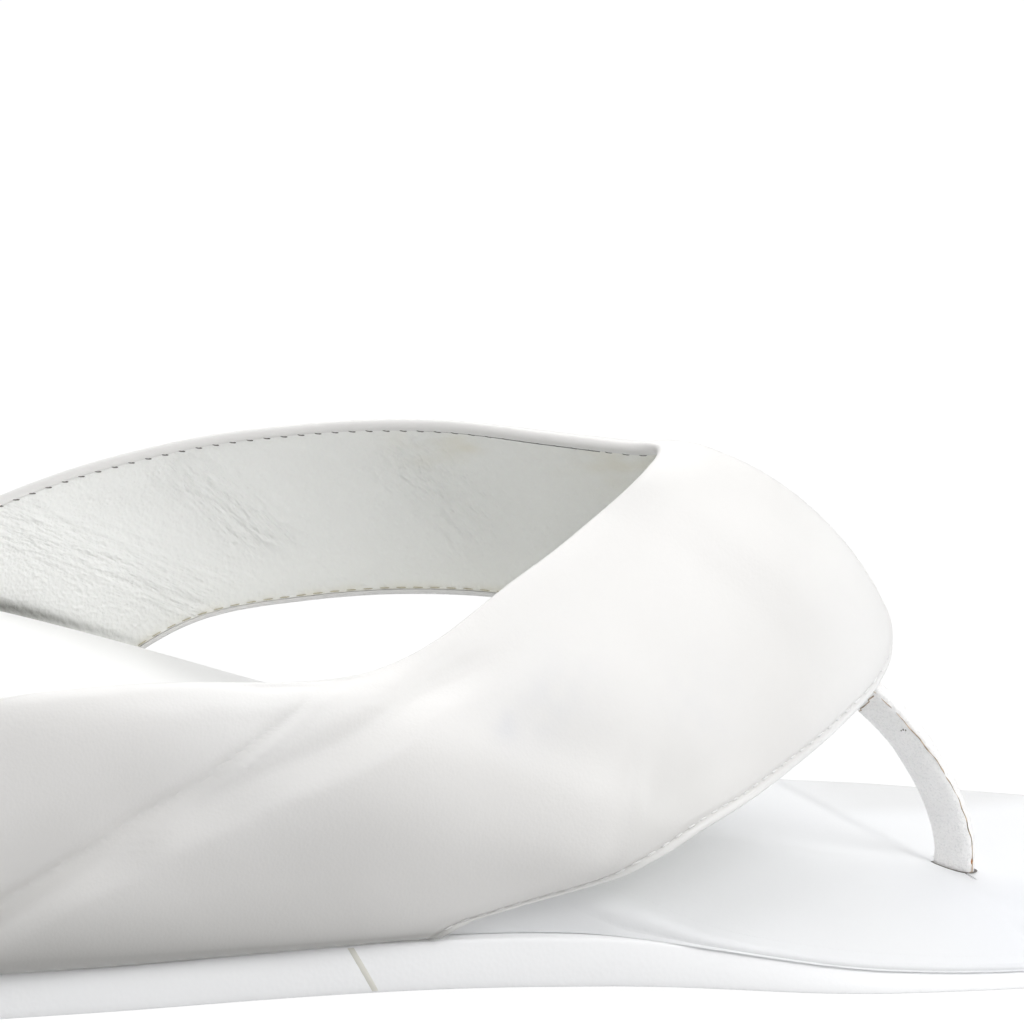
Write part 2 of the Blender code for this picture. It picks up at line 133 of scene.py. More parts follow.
def makeFloor():
    # a wide sheet of paper; the eye sees it mixed with a plain white glow, which covers most of its shadow
    reach = floorLook["reach"]
    mesh = bpy.data.meshes.new("floor")
    corners = [(-reach, -reach, 0.0), (reach, -reach, 0.0), (reach, reach, 0.0), (-reach, reach, 0.0)]
    mesh.from_pydata(corners, [], [(0, 1, 2, 3)])
    paper = bpy.data.materials.new("whitePaper")
    paper.use_nodes = True
    tree = paper.node_tree
    add = nodeAdder(tree)
    plain = tree.nodes["Principled BSDF"]
    plain.inputs["Base Color"].default_value = (floorLook["paper"],) * 3 + (1.0,)
    plain.inputs["Roughness"].default_value = floorLook["rough"]
    glow = add("ShaderNodeEmission", {"Color": (1.0, 1.0, 1.0, 1.0), "Strength": floorLook["white"]})
    eye = tree.nodes.new("ShaderNodeLightPath").outputs["Is Camera Ray"]
    share = add("ShaderNodeMath", {0: eye, 1: floorLook["glow"]}, operation="MULTIPLY")
    mixed = add("ShaderNodeMixShader", {0: share, 1: plain.outputs[0], 2: glow})
    tree.links.new(mixed, tree.nodes["Material Output"].inputs["Surface"])
    mesh.materials.append(paper)
    floor = bpy.data.objects.new("floor", mesh)
    bpy.context.scene.collection.objects.link(floor)


makeRoom()
makeFloor()
for number, (at, size, power) in enumerate(light["panels"]):
    softLight(f"panel{number + 1}", at, light["aim"], size, power)
print("camera, floor and light made")


def ease(t):
    # 0 below 0, 1 above 1, a smooth step between
    t = np.clip(t, 0.0, 1.0)
    return t * t * (3.0 - 2.0 * t)


def ramp(x, start, end):
    # 0 up to start, 1 from end on, a smooth step between; end may lie before start
    return ease((x - start) / (end - start))


def swellUp(t):
    # 0 at 0, 1 from 1 on, steep at first: a quarter of a parabola
    t = np.clip(t, 0.0, 1.0)
    return t * (2.0 - t)


def hump(t, width):
    # a bell of height 1 at t = 0: exp(-(t / width) squared)
    return np.exp(-((t / width) ** 2))


def hermite(at, values, where):
    # cubic pieces through values at the places at, whose slope at each place is its neighbours' chord
    at, values, where = (np.asarray(numbers, float) for numbers in (at, values, where))
    slopes = np.empty_like(values)
    slopes[1:-1] = ((values[2:] - values[:-2]).T / (at[2:] - at[:-2])).T
    slopes[0] = (values[1] - values[0]) / (at[1] - at[0])
    slopes[-1] = (values[-1] - values[-2]) / (at[-1] - at[-2])
    left = np.clip(np.searchsorted(at, where) - 1, 0, len(at) - 2)
    right = left + 1
    shape = (-1,) + (1,) * (values.ndim - 1)
    span = (at[right] - at[left]).reshape(shape)
    t = (where - at[left]).reshape(shape) / span
    start = (2 * t**3 - 3 * t**2 + 1) * values[left] + (t**3 - 2 * t**2 + t) * span * slopes[left]
    return start + (3 * t**2 - 2 * t**3) * values[right] + (t**3 - t**2) * span * slopes[right]


def refine(grid, columns, rows):
    # the same surface on a finer grid: hermite along the first direction, then along the second
    first = hermite(np.linspace(0, 1, grid.shape[0]), grid, np.linspace(0, 1, columns))
    turned = np.swapaxes(first, 0, 1)
    second = hermite(np.linspace(0, 1, turned.shape[0]), turned, np.linspace(0, 1, rows))
    return np.swapaxes(second, 0, 1)


def unit(vectors):
    # each vector made 1 long
    return vectors / np.maximum(np.linalg.norm(vectors, axis=-1, keepdims=True), 1e-9)


def arc(count, start=0.0, end=90.0):
    # evenly spaced angles from start to end in degrees, given in radians
    return np.radians(np.linspace(start, end, count))


def runAlong(path):
    # millimetres from the start of a path to each of its points
    return np.concatenate([[0.0], np.cumsum(np.linalg.norm(np.diff(path, axis=0), axis=1))])


latticeSize = 64
lattice = np.random.default_rng(7).random((latticeSize,) * 3)


def cloud(points, size, seed):
    # smooth random values, -1 to 1: a cubic lattice of fixed random numbers, one every size millimetres,
    # read at another place for each seed
    scaled = np.asarray(points) / size + 17.3 * (seed + 1)
    cell = np.floor(scaled).astype(int)
    t = ease(scaled - cell)
    total = 0.0
    for corner in range(8):
        step = np.array([corner & 1, corner >> 1 & 1, corner >> 2 & 1])
        at = (cell + step) % latticeSize
        share = np.prod(np.where(step, t, 1.0 - t), axis=-1)
        total = total + share * lattice[at[..., 0], at[..., 1], at[..., 2]]
    return 2.0 * total - 1.0


def near(points, middle, size):
    # 1 at a middle, 0 a few sizes away: a bell of the distance
    return hump(np.linalg.norm(points - np.array(middle, float), axis=-1), size)


def spots(points, table):
    # the sum of soft round spots, each a strength, a middle and a size in millimetres
    return sum(strength * near(points, middle, size) for strength, middle, size in table)


def band(distance, height, middle, width):
    # height * a bell of the distance from a middle
    return height * hump(distance - middle, width)


def waves(points, *table):
    # the sum of clouds, each a height, a size and a seed
    return sum(height * cloud(points, size, seed) for height, size, seed in table)


def patchy(points, low, wave, most=1.0):
    # low plus one of those waves, held between 0 and most
    return np.clip(low + waves(points, wave), 0.0, most)


def meshPiece(name, points, faces, material, marks=None):
    # one object from points in millimetres; marks are values per point that its finish reads
    mesh = bpy.data.meshes.new(name)
    mesh.from_pydata((np.asarray(points) * mm).tolist(), [], faces)
    for key, values in (marks or {}).items():
        attribute = mesh.attributes.new(key, "FLOAT", "POINT")
        attribute.data.foreach_set("value", np.asarray(values, np.float32).ravel())
    mesh.shade_smooth()
    mesh.materials.append(material)
    piece = bpy.data.objects.new(name, mesh)
    bpy.context.scene.collection.objects.link(piece)
    return piece


def markByPlace(piece, key, value):
    # a mark worked out from each point's own place, in millimetres
    mesh = piece.data
    flat = np.empty(3 * len(mesh.vertices), np.float32)
    mesh.vertices.foreach_get("co", flat)
    attribute = mesh.attributes.new(key, "FLOAT", "POINT")
    attribute.data.foreach_set("value", value(flat.reshape(-1, 3) / mm).astype(np.float32))


def quadsBetween(columns, rows, closed):
    # the corner numbers of the quads in a grid of points; closed joins the last row to the first
    number = np.arange(columns * rows).reshape(columns, rows)
    if closed:
        number = np.concatenate([number, number[:, :1]], axis=1)
    corners = [number[:-1, :-1], number[1:, :-1], number[1:, 1:], number[:-1, 1:]]
    return np.stack(corners, axis=-1).reshape(-1, 4)


def gridMesh(name, grid, material, closed=False):
    # a surface through a grid of points (columns, rows, 3), open at its ends
    return meshPiece(name, grid.reshape(-1, 3), quadsBetween(*grid.shape[:2], closed).tolist(), material)


def joined(name, pieces, smoothAngle=40.0):
    # one mesh from several, with the points that coincide merged and its faces turned outwards
    shell = bmesh.new()
    for piece in pieces:
        shell.from_mesh(piece.data)
    bmesh.ops.remove_doubles(shell, verts=shell.verts, dist=1e-6)
    bmesh.ops.dissolve_degenerate(shell, dist=1e-7, edges=shell.edges)
    bmesh.ops.recalc_face_normals(shell, faces=shell.faces)
    mesh = pieces[0].data
    shell.to_mesh(mesh)
    shell.free()
    for piece in pieces[1:]:
        bpy.data.objects.remove(piece, do_unlink=True)
    mesh.shade_smooth()
    mesh.set_sharp_from_angle(angle=math.radians(smoothAngle))
    pieces[0].name = name
    return pieces[0]


def closedPiece(name, grid, material, smoothAngle=40.0, marks=None):
    # a solid whose columns are rings, with one face over the first ring and one over the last
    columns, rows = grid.shape[:2]
    number = np.arange(columns * rows)
    faces = quadsBetween(columns, rows, True).tolist()
    faces += [number[:rows].tolist(), number[-rows:][::-1].tolist()]
    return joined(name, [meshPiece(name, grid.reshape(-1, 3), faces, material, marks)], smoothAngle)


def place(piece, slotName, *nodes):
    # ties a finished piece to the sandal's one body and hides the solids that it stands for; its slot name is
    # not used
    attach(piece, "root")
    if nodes:
        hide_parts(*nodes)


class Finish:
    # a material and short ways to add nodes to it

    def __init__(self, name):
        self.material = bpy.data.materials.new(name)
        self.material.use_nodes = True
        self.add = nodeAdder(self.material.node_tree)
        self.shader = self.material.node_tree.nodes["Principled BSDF"]
        self.where = self.material.node_tree.nodes.new("ShaderNodeTexCoord").outputs["Object"]

    def math(self, operation, a, b):
        return self.add("ShaderNodeMath", {0: a, 1: b}, operation=operation)

    def noise(self, scale, detail, rough=0.5, turn=None, stretch=(1.0, 1.0, 1.0)):
        # turn is degrees about Y; stretch then draws the pattern out along the turned axes
        where = self.where
        if turn is not None:
            spin = (0.0, math.radians(turn), 0.0)
            sockets = {"Vector": where, "Rotation": spin, "Scale": stretch}
            where = self.add("ShaderNodeMapping", sockets, vector_type="TEXTURE")
        sockets = {"Vector": where, "Scale": scale, "Detail": detail, "Roughness": rough}
        return self.add("ShaderNodeTexNoise", sockets)

    def cells(self, scale):
        # distance to the nearest of scattered points: round pebbles
        return self.add("ShaderNodeTexVoronoi", {"Vector": self.where, "Scale": scale})

    def patches(self, scale, detail=4.0, low=0.35, high=0.7):
        # a share that changes slowly from patch to patch
        return self.between(self.noise(scale, detail), low, high)

    def between(self, value, low, high):
        # 0 at low, 1 at high, smooth between
        sockets = {"Value": value, "From Min": low, "From Max": high}
        return self.add("ShaderNodeMapRange", sockets, interpolation_type="SMOOTHSTEP")

    def blend(self, share, first, second):
        # first where share is 0, second where it is 1
        node = self.add("ShaderNodeMix", {"Factor": share}, data_type="RGBA").node
        for socket, value in ((node.inputs[6], first), (node.inputs[7], second)):
            if isinstance(value, bpy.types.NodeSocket):
                self.material.node_tree.links.new(value, socket)
            else:
                socket.default_value = value
        return node.outputs[2]

    def mark(self, name):
        # the values that a mesh carries for each of its points
        return self.add("ShaderNodeAttribute", attribute_name=name).node.outputs["Fac"]

    def bump(self, height, distance, strength, under=None):
        # relief in metres, on top of the one under it
        sockets = {"Height": height, "Distance": distance, "Strength": strength}
        if under is not None:
            sockets["Normal"] = under
        return self.add("ShaderNodeBump", sockets)

    def done(self, **sockets):
        # sets or links the shader's own sockets
        for key, value in sockets.items():
            socket = self.shader.inputs[key.replace("_", " ")]
            if isinstance(value, bpy.types.NodeSocket):
                self.material.node_tree.links.new(value, socket)
            else:
                socket.default_value = value
        return self.material


def shade(level, warm=0.0, blue=0.0):
    # a near-white: redder and less blue by warm, and bluer by blue
    return (level + warm, level, level - warm + blue, 1.0)


def darker(colour, share):
    # each of red, green and blue times share
    return tuple(share * c for c in colour[:3]) + (1.0,)


# white calf: its two skins as (base level, warmth), colours of its marks, and its grain, whose sizes are
# repeats in a metre and whose heights are metres
calf = dict(
    strap=(0.795, 0.009), pad=(0.80, -0.008), slow=0.02, patches=28.0,
    # the marks' colours: a bluish grey for scuffs and painted bluish shade, a grey for painted shade, and a
    # near-white for painted light
    scuffAndShadeTint=(0.56, 0.58, 0.66, 1.0), paintedShade=(0.50, 0.495, 0.48, 1.0), paintedLight=(0.95, 0.95, 0.945, 1.0),
    pebbles=2600.0, pores=5200.0, poreShare=0.6, pebbleHeight=0.00003, pebbleStrength=0.4,
    ripples=420.0, rippleHeight=0.00010, rippleStrength=0.2,
    rough=0.34, roughPatches=160.0, roughSpread=0.12, shine=0.45,
)


def whiteCalf(name, base, warm):
    # fine pebbled grain from cells and noise, slow tone changes, bluish scuffs, painted bluish shade, painted
    # shade low down and along the seams, and painted highlights
    finish = Finish(name)
    slow = finish.patches(calf["patches"])
    pale, dark = (shade(level, warm, -0.5 * warm) for level in (base, base - calf["slow"]))
    colour = finish.blend(slow, pale, dark)
    # blends in painted light, blue scuffs with painted bluish shade, and painted shade, each by its mark
    for key, tint in (("paintedLight", "paintedLight"), ("scuffAndShade", "scuffAndShadeTint"), ("paintedShade", "paintedShade")):
        colour = finish.blend(finish.mark(key), colour, calf[tint])
    pores = finish.math("MULTIPLY", finish.noise(calf["pores"], 2.0), calf["poreShare"])
    grain = finish.math("ADD", finish.cells(calf["pebbles"]), pores)
    normal = finish.bump(grain, calf["pebbleHeight"], calf["pebbleStrength"])
    ripples = finish.noise(calf["ripples"], 4.0, 0.6)
    normal = finish.bump(ripples, calf["rippleHeight"], calf["rippleStrength"], normal)
    rough = finish.math("MULTIPLY", finish.noise(calf["roughPatches"], 3.0), calf["roughSpread"])
    rough = finish.math("ADD", rough, calf["rough"])
    return finish.done(Base_Color=colour, Roughness=rough, Normal=normal, Specular_IOR_Level=calf["shine"])


# the lining's colours and grain, and its families of folds as (mark, degrees that they lean)
liningLook = dict(
    # deep is a yellow-grey tint, partly soil and partly painted shade
    pale=(0.955, 0.96, 0.94, 1.0), deep=(0.92, 0.925, 0.885, 1.0), stain=(0.74, 0.66, 0.44, 1.0),
    # crevice is a near-black that paints the contact shadow where the lining meets the padded top
    creviceShadow=(0.16, 0.16, 0.14, 1.0), worn=0.97, patches=60.0, rough=0.4, shine=0.5,
    cells=1900.0, cellHeight=0.00014, pores=900.0, poreHeight=0.00045,
    folds=(("foldsRear", 24.0), ("foldsTop", 43.0), ("foldsFront", 46.0)),
    foldSize=1000.0, foldHeight=0.0008, foldStretch=(5.0, 1.5, 1.0),
)


def liningLeather():
    # pale skin that deepens towards the throat, partly soil and partly painted shade, with yellow stains, a
    # painted contact shadow in the rear crevice, and three families of thin folds
    finish = Finish("liningLeather")
    look = liningLook
    slow = finish.patches(look["patches"], low=0.3, high=0.75)
    colour = finish.blend(slow, look["pale"], darker(look["pale"], look["worn"]))
    for key in ("deep", "stain", "creviceShadow"):
        colour = finish.blend(finish.mark(key), colour, look[key])
    normal = finish.bump(finish.cells(look["cells"]), look["cellHeight"], 0.65)
    normal = finish.bump(finish.noise(look["pores"], 4.0, 0.6), look["poreHeight"], 0.45, normal)
    for key, turn in look["folds"]:
        ripple = finish.noise(look["foldSize"], 3.0, 0.55, turn, look["foldStretch"])
        height = finish.math("MULTIPLY", ripple, finish.mark(key))
        normal = finish.bump(height, look["foldHeight"], 0.8, normal)
    rough, shine = look["rough"], look["shine"]
    return finish.done(Base_Color=colour, Roughness=rough, Normal=normal, Specular_IOR_Level=shine)


# the post's off-white skin, the grey between its grains, and its grain
postLook = dict(
    light=(0.985, 0.007, 0.0), dark=(0.955, 0.007, 0.004), patches=300.0,
    grey=(0.66, 0.67, 0.68, 1.0), greyShare=0.30, pits=3600.0,
    lumps=2600.0, lumpHeight=0.0003, cells=2300.0, cellHeight=0.00006, rough=0.45,
)


def postLeather():
    # coarser grain than the strap's, with grey between the grains
    finish = Finish("postLeather")
    look = postLook
    slow = finish.patches(look["patches"])
    colour = finish.blend(slow, shade(*look["light"]), shade(*look["dark"]))
    pits = finish.between(finish.noise(look["pits"], 3.0, 0.6), 0.50, 0.66)
    colour = finish.blend(finish.math("MULTIPLY", pits, look["greyShare"]), colour, look["grey"])
    normal = finish.bump(finish.noise(look["lumps"], 3.0, 0.6), look["lumpHeight"], 0.6)
    normal = finish.bump(finish.cells(look["cells"]), look["cellHeight"], 0.6, normal)
    return finish.done(Base_Color=colour, Roughness=look["rough"], Normal=normal)


def plainFinish(name, colour, rough, grain=1800.0, relief=0.00003, worn=0.965, patch=40.0):
    # one colour that varies in patches, down to worn times itself, with a fine even grain; grain and patch
    # are repeats in a metre, and relief is the grain's height in metres
    finish = Finish(name)
    slow = finish.patches(patch, 3.0)
    tone = finish.blend(slow, colour, darker(colour, worn))
    normal = finish.bump(finish.cells(grain), relief, 0.5)
    return finish.done(Base_Color=tone, Roughness=rough, Normal=normal)


calfSkin = whiteCalf("whiteCalf", *calf["strap"])
lining = liningLeather()
postSkin = postLeather()
soleRubber = plainFinish("soleRubber", shade(0.97, -0.006, 0.004), rough=0.5, worn=0.99)
padSkin = whiteCalf("padCalf", *calf["pad"])
threadWhite = plainFinish("threadWhite", shade(0.82, 0.004), rough=0.6, grain=4000.0)
threadBrown = plainFinish("threadBrown", (0.52, 0.48, 0.35, 1.0), rough=0.6, grain=4000.0)
# a dark finish that paints the shade in needle holes and in gaps
holeShadow = plainFinish("paintedHoleShadow", (0.16, 0.15, 0.14, 1.0), rough=0.7, grain=4000.0)
frayed = dict(grain=2500.0, relief=0.00008)
rawEdge = plainFinish("rawLeatherEdge", (0.66, 0.52, 0.38, 1.0), rough=0.65, worn=0.35, patch=700.0, **frayed)
crackBrown = plainFinish("crackedEdge", (0.52, 0.42, 0.32, 1.0), rough=0.7, worn=0.5, patch=900.0, **frayed)
wornSpot = plainFinish("wornSpot", (0.78, 0.62, 0.52, 1.0), rough=0.6, grain=2500.0)
wornOrange = plainFinish(
    "wornOrange", (0.55, 0.22, 0.08, 1.0), rough=0.6, grain=2500.0, worn=0.5, patch=900.0
)
joinTape = plainFinish("soleJoint", (0.74, 0.73, 0.67, 1.0), rough=0.6)
print("materials made")

# millimetres; a pair of numbers is where, along x, something starts and where it is full, and wallFoot's
# pairs are an inset and a rise
sole = dict(
    length=233.0,
    x=(-116.5, -112.5, -104.5, -88.5, -61.5, -31.5, -6.5, 18.5, 41.5, 63.5, 78.5, 91.5, 103.5, 112.5, 116.5),
    medial=(0.0, 14.0, 22.5, 27.8, 28.0, 27.8, 29.8, 33.6, 38.0, 39.6, 38.4, 35.6, 31.0, 25.0, 14.0),
    lateral=(0.0, 14.0, 22.5, 29.3, 31.0, 32.2, 34.4, 37.6, 39.6, 38.4, 33.5, 24.5, 11.5, -1.5, -14.0),
    forefootTop=6.3, heelRise=35.7, rise=(70.0, -96.0),
    waistRear=(-50.0, 0.0), waistFront=(45.0, 10.0), waistLift=1.0, waistSwell=0.7,
    treadFront=1.9, treadRear=4.9, treadGrows=(62.0, 2.0), treadRound=0.08, treadFlare=1.3, treadLip=0.15,
    treadShoulder=0.18, treadBow=1.5, treadShares=(0.0, 0.02, 0.06, 0.12, 0.18, 0.35, 0.55, 0.75, 0.9, 0.97),
    toeSpring=4.5, springFrom=76.0, springRun=40.5, springPower=1.8,
    wallInset=0.9, recess=2.1, recessRear=(-92.0, -80.0), recessFront=(24.0, 6.0),
    lean=1.3, swell=0.4, tallWall=25.0, rim=3.0, rimMost=0.8, gap=0.3, seat=0.02,
    wallFoot=((0.3, 0.0), (0.08, 0.06)),
    padRise=0.9, padRun=5.0, padFront=66.3, padSkew=0.07, padGrows=(-20.0, 30.0),
    sideFall=(-16.0, 4.0), sideKeeps=0.5, sideReach=29.0, sideCurve=1.35,
    toeFall=0.4, toeFallRear=(60.0, 68.0), toeFallFront=(114.0, 100.0),
    archDrop=2.6, archReach=14.0, archFall=(-18.0, -32.0),
    insoleInset=1.6, insoleThick=1.8, insoleLeast=0.6, insoleGap=0.012, insoleEdge=0.3,
    slitX=67.3, slitY=-9.3, slitLong=10.5, slitWide=0.25,
)


def waist(x):
    # 1 in the middle of the waist, 0 at the heel and at the ball
    return ramp(x, *sole["waistRear"]) * ramp(x, *sole["waistFront"])


def toeSpring(x):
    # toeSpring * ((x - springFrom) / springRun) ^ springPower, 0 behind springFrom
    share = np.clip((x - sole["springFrom"]) / sole["springRun"], 0.0, 1.0)
    return sole["toeSpring"] * share ** sole["springPower"]


def soleBottom(x):
    # the outsole's underside: on the floor, but lifted at the waist and sprung at the toes
    return sole["waistLift"] * waist(x) + toeSpring(x)


def treadTop(x):
    # the outsole's upper face: its thickness grows from treadFront to treadRear, and swells at the waist
    thick = sole["treadFront"] + (sole["treadRear"] - sole["treadFront"]) * ramp(x, *sole["treadGrows"])
    return soleBottom(x) + thick + sole["waistSwell"] * waist(x)


def footbedTop(x):
    # the footbed's height along its middle, without its padding
    return sole["forefootTop"] + sole["heelRise"] * ramp(x, *sole["rise"]) + toeSpring(x)


def wallInset(x):
    # the wall lies further in where the straps cover it
    covered = ramp(x, *sole["recessRear"]) * ramp(x, *sole["recessFront"])
    return sole["wallInset"] + sole["recess"] * covered


def wallLean(height):
    # a low wall leans in less than a tall one
    return sole["lean"] * ease(height / sole["tallWall"])


def outlineArc(x):
    # the angle whose cosine gives x: 0 at the heel, half a turn at the toe
    return np.arccos(np.clip(-np.asarray(x) / (0.5 * sole["length"]), -1.0, 1.0))


def outlineWidth(x, side):
    # millimetres from the middle line to one side of the outline
    turn = outlineArc(x)
    return hermite(outlineArc(sole["x"]), sole[side], turn.ravel()).reshape(turn.shape)


def pad(x, y):
    # 1 on the padding behind the slit's line, 0 in front of it, and fading out under the arms
    return ease((sole["padFront"] - sole["padSkew"] * y - x) / sole["padRun"]) * ramp(x, *sole["padGrows"])


def footbedHeight(x, y):
    # the padded top: behind the slit's line it rises at once by padRise; on the medial side of the
    # forefoot it falls away to the edge as (1 - distance / sideReach) ^ sideCurve, and a little at the arch
    x, y = np.asarray(x, float), np.asarray(y, float)
    top = footbedTop(x) + sole["padRise"] * pad(x, y)
    fromEdge = y + outlineWidth(x, "medial")
    drop = np.maximum(top - treadTop(x) - sole["sideKeeps"], 0.0)
    toes = sole["toeFall"] * ramp(x, *sole["toeFallRear"]) * ramp(x, *sole["toeFallFront"])
    falls = np.minimum(pad(x, y) * ramp(x, *sole["sideFall"]) + toes, 1.0)
    away = np.clip(1.0 - fromEdge / sole["sideReach"], 0.0, 1.0) ** sole["sideCurve"]
    arch = np.clip(1.0 - fromEdge / sole["archReach"], 0.0, 1.0) ** 2 * ramp(x, *sole["archFall"])
    return top - drop * falls * away - sole["archDrop"] * arch


def outline(steps):
    # the plan outline: from the heel along the medial edge to the toe and back along the lateral edge
    turn = np.linspace(0.0, np.pi, steps + 1)
    x = -0.5 * sole["length"] * np.cos(turn)
    medial = hermite(outlineArc(sole["x"]), -np.array(sole["medial"]), turn)
    lateral = hermite(outlineArc(sole["x"]), np.array(sole["lateral"]), turn)
    return np.concatenate([np.column_stack([x, medial]), np.column_stack([x, lateral])[-2:0:-1]])


def inset(loop, distance):
    # each point moved inwards along the mean of its two edges' normals
    ahead = unit(np.roll(loop, -1, axis=0) - loop)
    behind = unit(loop - np.roll(loop, 1, axis=0))
    along = unit(ahead + behind)
    return loop + np.column_stack([-along[:, 1], along[:, 0]]) * np.reshape(distance, (-1, 1))


def lay(loop, z):
    # a plan loop at height z
    return np.column_stack([loop, np.broadcast_to(z, len(loop))])


def fill(ring, height, across):
    # a ring's inside: straight lines from each medial point to its lateral partner, with their height
    # from a function of x and y, as a grid (half the ring, across, 3)
    half = len(ring) // 2
    medial, lateral = ring[: half + 1], np.roll(ring[::-1], 1, axis=0)[: half + 1]
    share = np.linspace(0.0, 1.0, across)[None, :, None]
    grid = medial[:, None] * (1.0 - share) + lateral[:, None] * share
    inner = grid[1:-1, 1:-1]
    inner[..., 2] = height(inner[..., 0], inner[..., 1])
    return grid


def ringsMesh(name, rings, material, topHeight, bottomHeight, across=24):
    # walls between rings from the bottom to the top, and a filled cap on each end
    wall = gridMesh(name, np.stack(rings), material, closed=True)
    bottom = gridMesh(name + "Under", fill(rings[0], bottomHeight, across)[:, ::-1], material)
    top = gridMesh(name + "Over", fill(rings[-1], topHeight, across), material)
    return joined(name, [wall, bottom, top])


def treadSide(loop, share):
    # the outsole's side: it leans in as it rises, above a rounded lower edge; share is 0 below, 1 above
    x = loop[:, 0]
    low, high = soleBottom(x), treadTop(x)
    curve = math.sqrt(1.0 - (1.0 - min(share / sole["treadShoulder"], 1.0)) ** 2)
    foot = sole["treadRound"] * (1.0 - curve)
    lean = sole["treadFlare"] * share ** sole["treadBow"]
    return lay(inset(loop, foot + lean), low + (high - low) * share)


def makeOutsole(loop):
    # rings up its side, then one turned in onto its upper face
    rings = [treadSide(loop, share) for share in sole["treadShares"]]
    rings.append(lay(inset(loop, sole["treadFlare"] + sole["treadLip"]), treadTop(loop[:, 0])))
    return ringsMesh("outsoleSlab", rings, soleRubber, lambda x, y: treadTop(x), lambda x, y: soleBottom(x))


def onSurface(loop, distance, below=0.0):
    # a ring this far inside the outline, laid on the padded top or a little below it
    ring = inset(loop, distance)
    return lay(ring, footbedHeight(ring[:, 0], ring[:, 1]) - below)


def footbedUnder(x, y):
    # the wedge's underside, which follows the outsole's upper face
    return treadTop(x) + sole["seat"]


def rimRadius(loop):
    # the wall's foot, lean and height, and the rim's round, kept smaller than the wall is tall
    x = loop[:, 0]
    low = footbedUnder(x, loop[:, 1])
    lean = wallLean(footbedTop(x) - low)
    edge = inset(loop, wallInset(x) + lean)
    tall = footbedHeight(edge[:, 0], edge[:, 1]) - low
    return low, lean, tall, np.minimum(sole["rim"], sole["rimMost"] * tall)


def footbedWall(loop):
    # the leaning wall, then the rim's quarter round laid under the padded top
    low, lean, tall, rim = rimRadius(loop)
    base = wallInset(loop[:, 0])
    rings = [lay(inset(loop, base + inwards), low + rise) for inwards, rise in sole["wallFoot"]]
    for share in np.linspace(0.03, 1.0, 14):
        swell = sole["swell"] * np.sin(np.pi * share) * ease(tall / sole["tallWall"])
        rings.append(lay(inset(loop, base + lean * share - swell), low + (tall - rim) * share))
    for turn in arc(10)[1:]:
        inwards, below = rim * (1.0 - np.cos(turn)), rim * (1.0 - np.sin(turn))
        rings.append(onSurface(loop, base + lean + inwards, below))
    return rings, base + lean + rim


def boardUnder(x, y):
    # the insole's underside, kept clear of the wedge's own underside where the edge is low
    low = treadTop(x) + 2.0 * sole["gap"] + sole["insoleLeast"]
    return np.maximum(footbedHeight(x, y) - sole["insoleThick"], low)


def boardFloor(x, y):
    # the floor of the footbed's pocket
    return boardUnder(x, y) - sole["gap"]


def makeFootbed(loop):
    # the wedge: wall, rim, the top's margin, and the pocket that the insole is let into
    rings, rimInset = footbedWall(loop)
    edge = rimInset + sole["insoleInset"]
    for share in (0.25, 0.5, 0.75, 1.0):
        rings.append(onSurface(loop, rimInset + sole["insoleInset"] * share))
    ring = inset(loop, edge)
    rings.append(lay(ring, boardFloor(ring[:, 0], ring[:, 1])))
    piece = ringsMesh("footbedWrap", rings, padSkin, boardFloor, footbedUnder, across=40)
    return piece, edge


def makeInsole(loop, edge):
    # the covered board in the footbed's pocket, flush with it, with the slit and the post's hole cut out
    inner = edge + sole["insoleGap"]
    ring = inset(loop, inner)
    under = lay(ring, boardUnder(ring[:, 0], ring[:, 1]))
    rings = [under, onSurface(loop, inner, sole["insoleEdge"]), onSurface(loop, inner)]
    piece = ringsMesh("insoleBoard", rings, padSkin, footbedHeight, boardUnder, across=90)
    span = 0.5 * np.array([sole["slitWide"], sole["slitLong"]])
    corners = np.array([(-1, -1), (1, -1), (1, 1), (-1, 1)]) * span
    corners[:, 0] -= sole["padSkew"] * corners[:, 1]
    cutHole(piece, corners + (sole["slitX"], sole["slitY"]))
    cutHole(piece, postPlan(post["hole"]))
    return piece


def cutHole(piece, corners, low=0.5, high=20.0):
    # takes a prism of this plan out of a piece, through its whole height
    count = len(corners)
    prism = np.concatenate([lay(corners, low), lay(corners, high)])
    faces = [tuple(range(count))[::-1], tuple(range(count, 2 * count))]
    faces += [(i, (i + 1) % count, count + (i + 1) % count, count + i) for i in range(count)]
    cutter = meshPiece("cutter", prism, faces, padSkin)
    cut = piece.modifiers.new("cut", "BOOLEAN")
    cut.operation, cut.solver, cut.object = "DIFFERENCE", "EXACT", cutter
    graph = bpy.context.evaluated_depsgraph_get()
    piece.data = bpy.data.meshes.new_from_object(piece.evaluated_get(graph))
    piece.modifiers.clear()
    bpy.data.objects.remove(cutter, do_unlink=True)


# the slanting joint in the outsole's medial edge, and its section as (share of its width, out or in)
joint = dict(x=-19.1, run=3.0, wide=1.0, proud=0.05, deep=0.35, foot=0.04, head=0.96, rows=24)
jointSection = np.array([(-0.5, -1.0), (-0.25, 1.0), (0.25, 1.0), (0.5, -1.0)])


